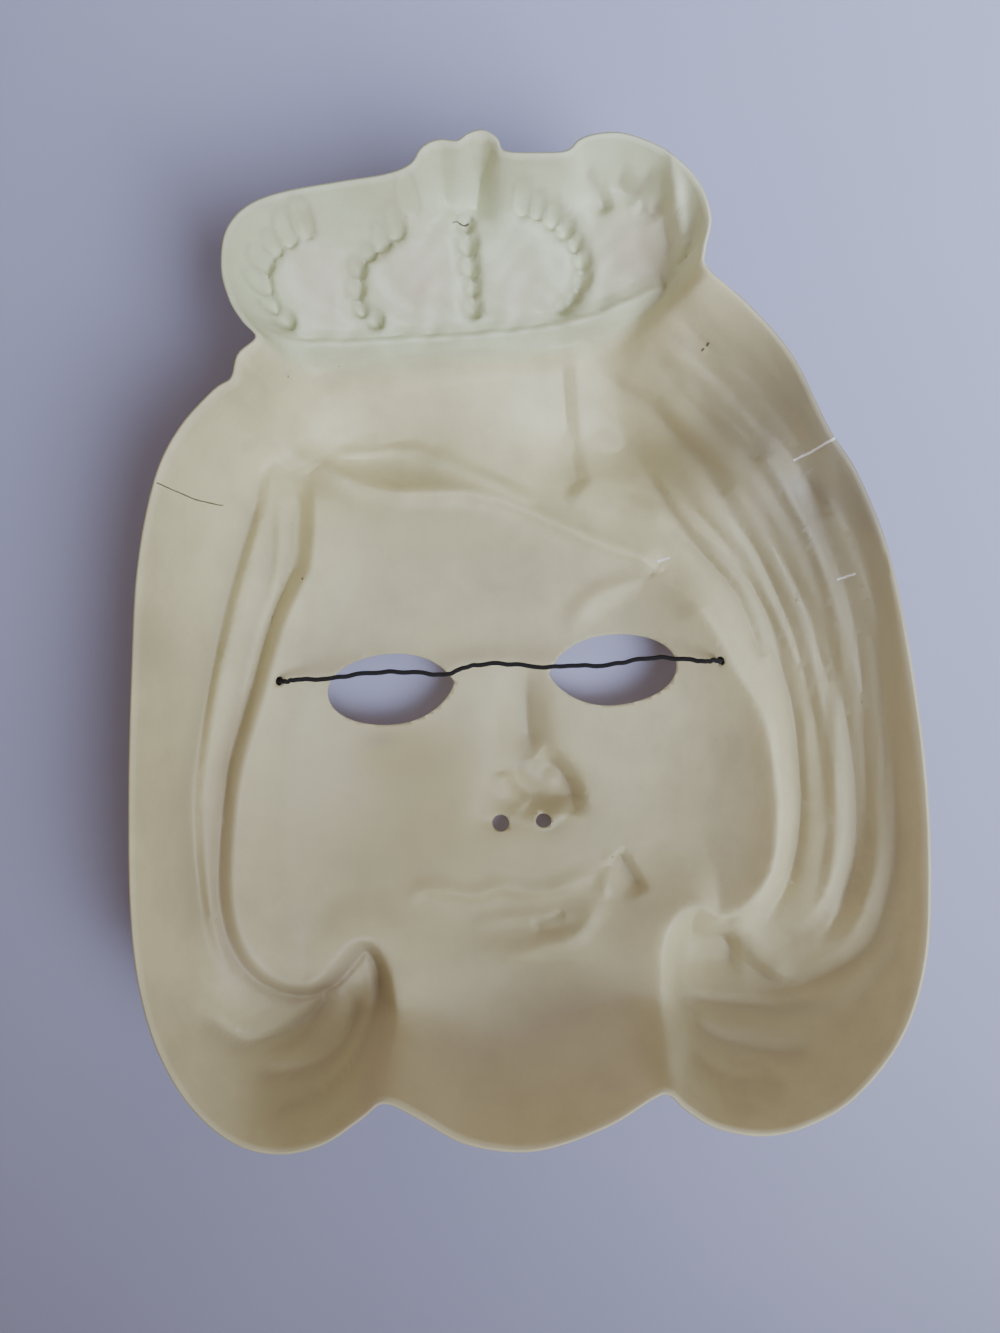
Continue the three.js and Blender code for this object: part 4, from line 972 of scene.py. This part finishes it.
def eyeOutline(inward):
    # almond with a slightly pointed inner corner
    w, h = (size / 2 for size in sheet["eyeSize"])
    spans = [
        ((-1, 0), (-1, 0.62), (-0.55, 1), (0, 1)), ((0, 1), (0.5, 1), (0.86, 0.6), (1, 0.06)),
        ((1, 0.06), (0.94, -0.35), (0.55, -1), (0, -1)), ((0, -1), (-0.55, -1), (-1, -0.62), (-1, 0)),
    ]
    outline = []
    for a, b, c, d in np.array(spans):
        for t in np.arange(16) / 16:
            p = a * (1 - t) ** 3 + 3 * b * t * (1 - t) ** 2 + 3 * c * t * t * (1 - t) + d * t**3
            outline.append((inward * p[0] * w, p[1] * h))
    return outline


def addPunch(bm, outline, at, axis=(0, 0, 1), length=sheet["punchLength"]):
    # a straight punch through the sheet
    low = bmesh.ops.create_circle(bm, cap_ends=True, segments=len(outline), radius=1)["verts"]
    for v, (x, y) in zip(low, outline):
        v.co = (x * mm, y * mm, -length / 2 * mm)
    made = bmesh.ops.extrude_face_region(bm, geom=low[0].link_faces[:])
    top = [g for g in made["geom"] if isinstance(g, bmesh.types.BMVert)]
    bmesh.ops.translate(bm, vec=(0, 0, length * mm), verts=top)
    turn = Vector((0, 0, 1)).rotation_difference(Vector(axis)).to_matrix().to_4x4()
    bmesh.ops.transform(bm, matrix=Matrix.Translation(inRow(*at)) @ turn, verts=low + top)


def roundOutline(width, height, count=24):
    turns = [2 * math.pi * i / count for i in range(count)]
    return [(width / 2 * math.cos(t), height / 2 * math.sin(t)) for t in turns]


def buildShell():
    bm = sheetSurface()
    bmesh.ops.translate(bm, vec=toRow, verts=bm.verts)
    shell = pieceFrom(bm, "formed_mask", [insidePlastic(), outsidePaint()])
    thicken = shell.modifiers.new("thickness", "SOLIDIFY")
    thicken.thickness = sheet["thickness"] * mm
    thicken.offset = 0
    thicken.material_offset = 1
    bm = bmesh.new()
    for side in (-1, 1):
        addPunch(bm, eyeOutline(-side), (side * sheet["eyeAt"], 0, sheet["depth"]))
    for at, size in sheet["nostrils"]:
        addPunch(bm, roundOutline(*size), (*at, sheet["depth"]))
    hole = roundOutline(sheet["strapHole"], sheet["strapHole"])
    for side in ("left", "right"):
        addPunch(bm, hole, *strap[side], sheet["strapPunchLength"])
    bmesh.ops.recalc_face_normals(bm, faces=bm.faces)
    punch = pieceFrom(bm, "punch", [])
    cut = shell.modifiers.new("openings", "BOOLEAN")
    cut.operation = "DIFFERENCE"
    cut.solver = "MANIFOLD"
    cut.object = punch
    ready = shell.evaluated_get(bpy.context.evaluated_depsgraph_get())
    mesh = bpy.data.meshes.new_from_object(ready)
    shell.modifiers.clear()
    shell.data = mesh
    bpy.data.objects.remove(punch)
    mesh.shade_smooth()
    setTints(mesh)
    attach(shell, "root")
    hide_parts("mask_shell")
    mesh.calc_loop_triangles()
    print("shell", len(mesh.loop_triangles), "triangles")


buildShell()


# floor and light
table = {
    "colors": ("#9da0be", "#a4a6c2"), "roughness": 0.6,
    "cloud": 71.43,             # size of the faint clouds
    "dust": (62.5, 0.012, "#6d6a78"),       # specks this far apart, with a radius that is a share of it
}
room = {
    "air": ("#ffeae0", 0.35),
    # lamps: degrees round the mask and from the vertical, metres away, watts, colour, aim
    "window": (-22, 42, 0.95, 186, "#dce8ff", (0.37, 0.29)),    # dims towards the picture's lower left
    "windowSoftness": 0.5, "windowSpread": 74,
    "ceiling": (40, 35, 1.3, 1, "#eef0ff", (0, 0)),
    "ceilingSize": 1,
}


def buildFloor():
    bm = bmesh.new()
    bmesh.ops.create_grid(bm, x_segments=1, y_segments=1, size=3)
    # pale laminate table: even, with faint clouds and a few specks of dust
    material, shader = newMaterial("paleLaminate")
    shader.inputs["Roughness"].default_value = table["roughness"]
    coords = addNode(material, "TexCoord")
    clouds = addNode(material, "TexNoise", {"Scale": 1 / (table["cloud"] * mm), "Detail": 5},
                     {"Vector": (coords, "Object")})
    dark, light = (hexColor(c) for c in table["colors"])
    base = addNode(material, "Mix", {"data_type": "RGBA", 6: dark, 7: light}, {0: clouds})
    apart, radius, color = table["dust"]
    cells = addNode(material, "TexVoronoi", {"Scale": 1 / (apart * mm)}, {"Vector": (coords, "Object")})
    dust = addNode(material, "Math", {"operation": "LESS_THAN", 1: radius}, {0: cells})
    base = addNode(material, "Mix", {"data_type": "RGBA", 7: hexColor(color)}, {0: dust, 6: (base, 2)})
    join(material, (base, 2), shader, "Base Color")
    floor = pieceFrom(bm, "floor", [material])


def addLight(name, kind, place):
    around, fromVertical, away, power, color, aim = place
    data = bpy.data.lights.new(name, kind)
    data.energy = power
    data.color = hexColor(color)[:3]
    lamp = addObject(name, data)
    a, v = math.radians(around), math.radians(fromVertical)
    direction = Vector((math.sin(v) * math.cos(a), math.sin(v) * math.sin(a), math.cos(v)))
    lamp.location = direction * away
    toLamp = lamp.location - Vector((*aim, 0))
    lamp.rotation_euler = toLamp.to_track_quat("Z", "Y").to_euler()
    return data


def setLight():
    world = bpy.data.worlds.new("studio")
    world.use_nodes = True
    bpy.context.scene.world = world
    background = world.node_tree.nodes["Background"]
    background.inputs["Color"].default_value = hexColor(room["air"][0])
    background.inputs["Strength"].default_value = room["air"][1]
    key = addLight("windowLight", "SPOT", room["window"])
    key.shadow_soft_size = room["windowSoftness"]
    key.spot_size = math.radians(room["windowSpread"])
    key.spot_blend = 1
    sky = addLight("ceilingBounce", "AREA", room["ceiling"])
    sky.shape = "DISK"
    sky.size = room["ceilingSize"]


buildFloor()
setLight()
print("floor and light set")
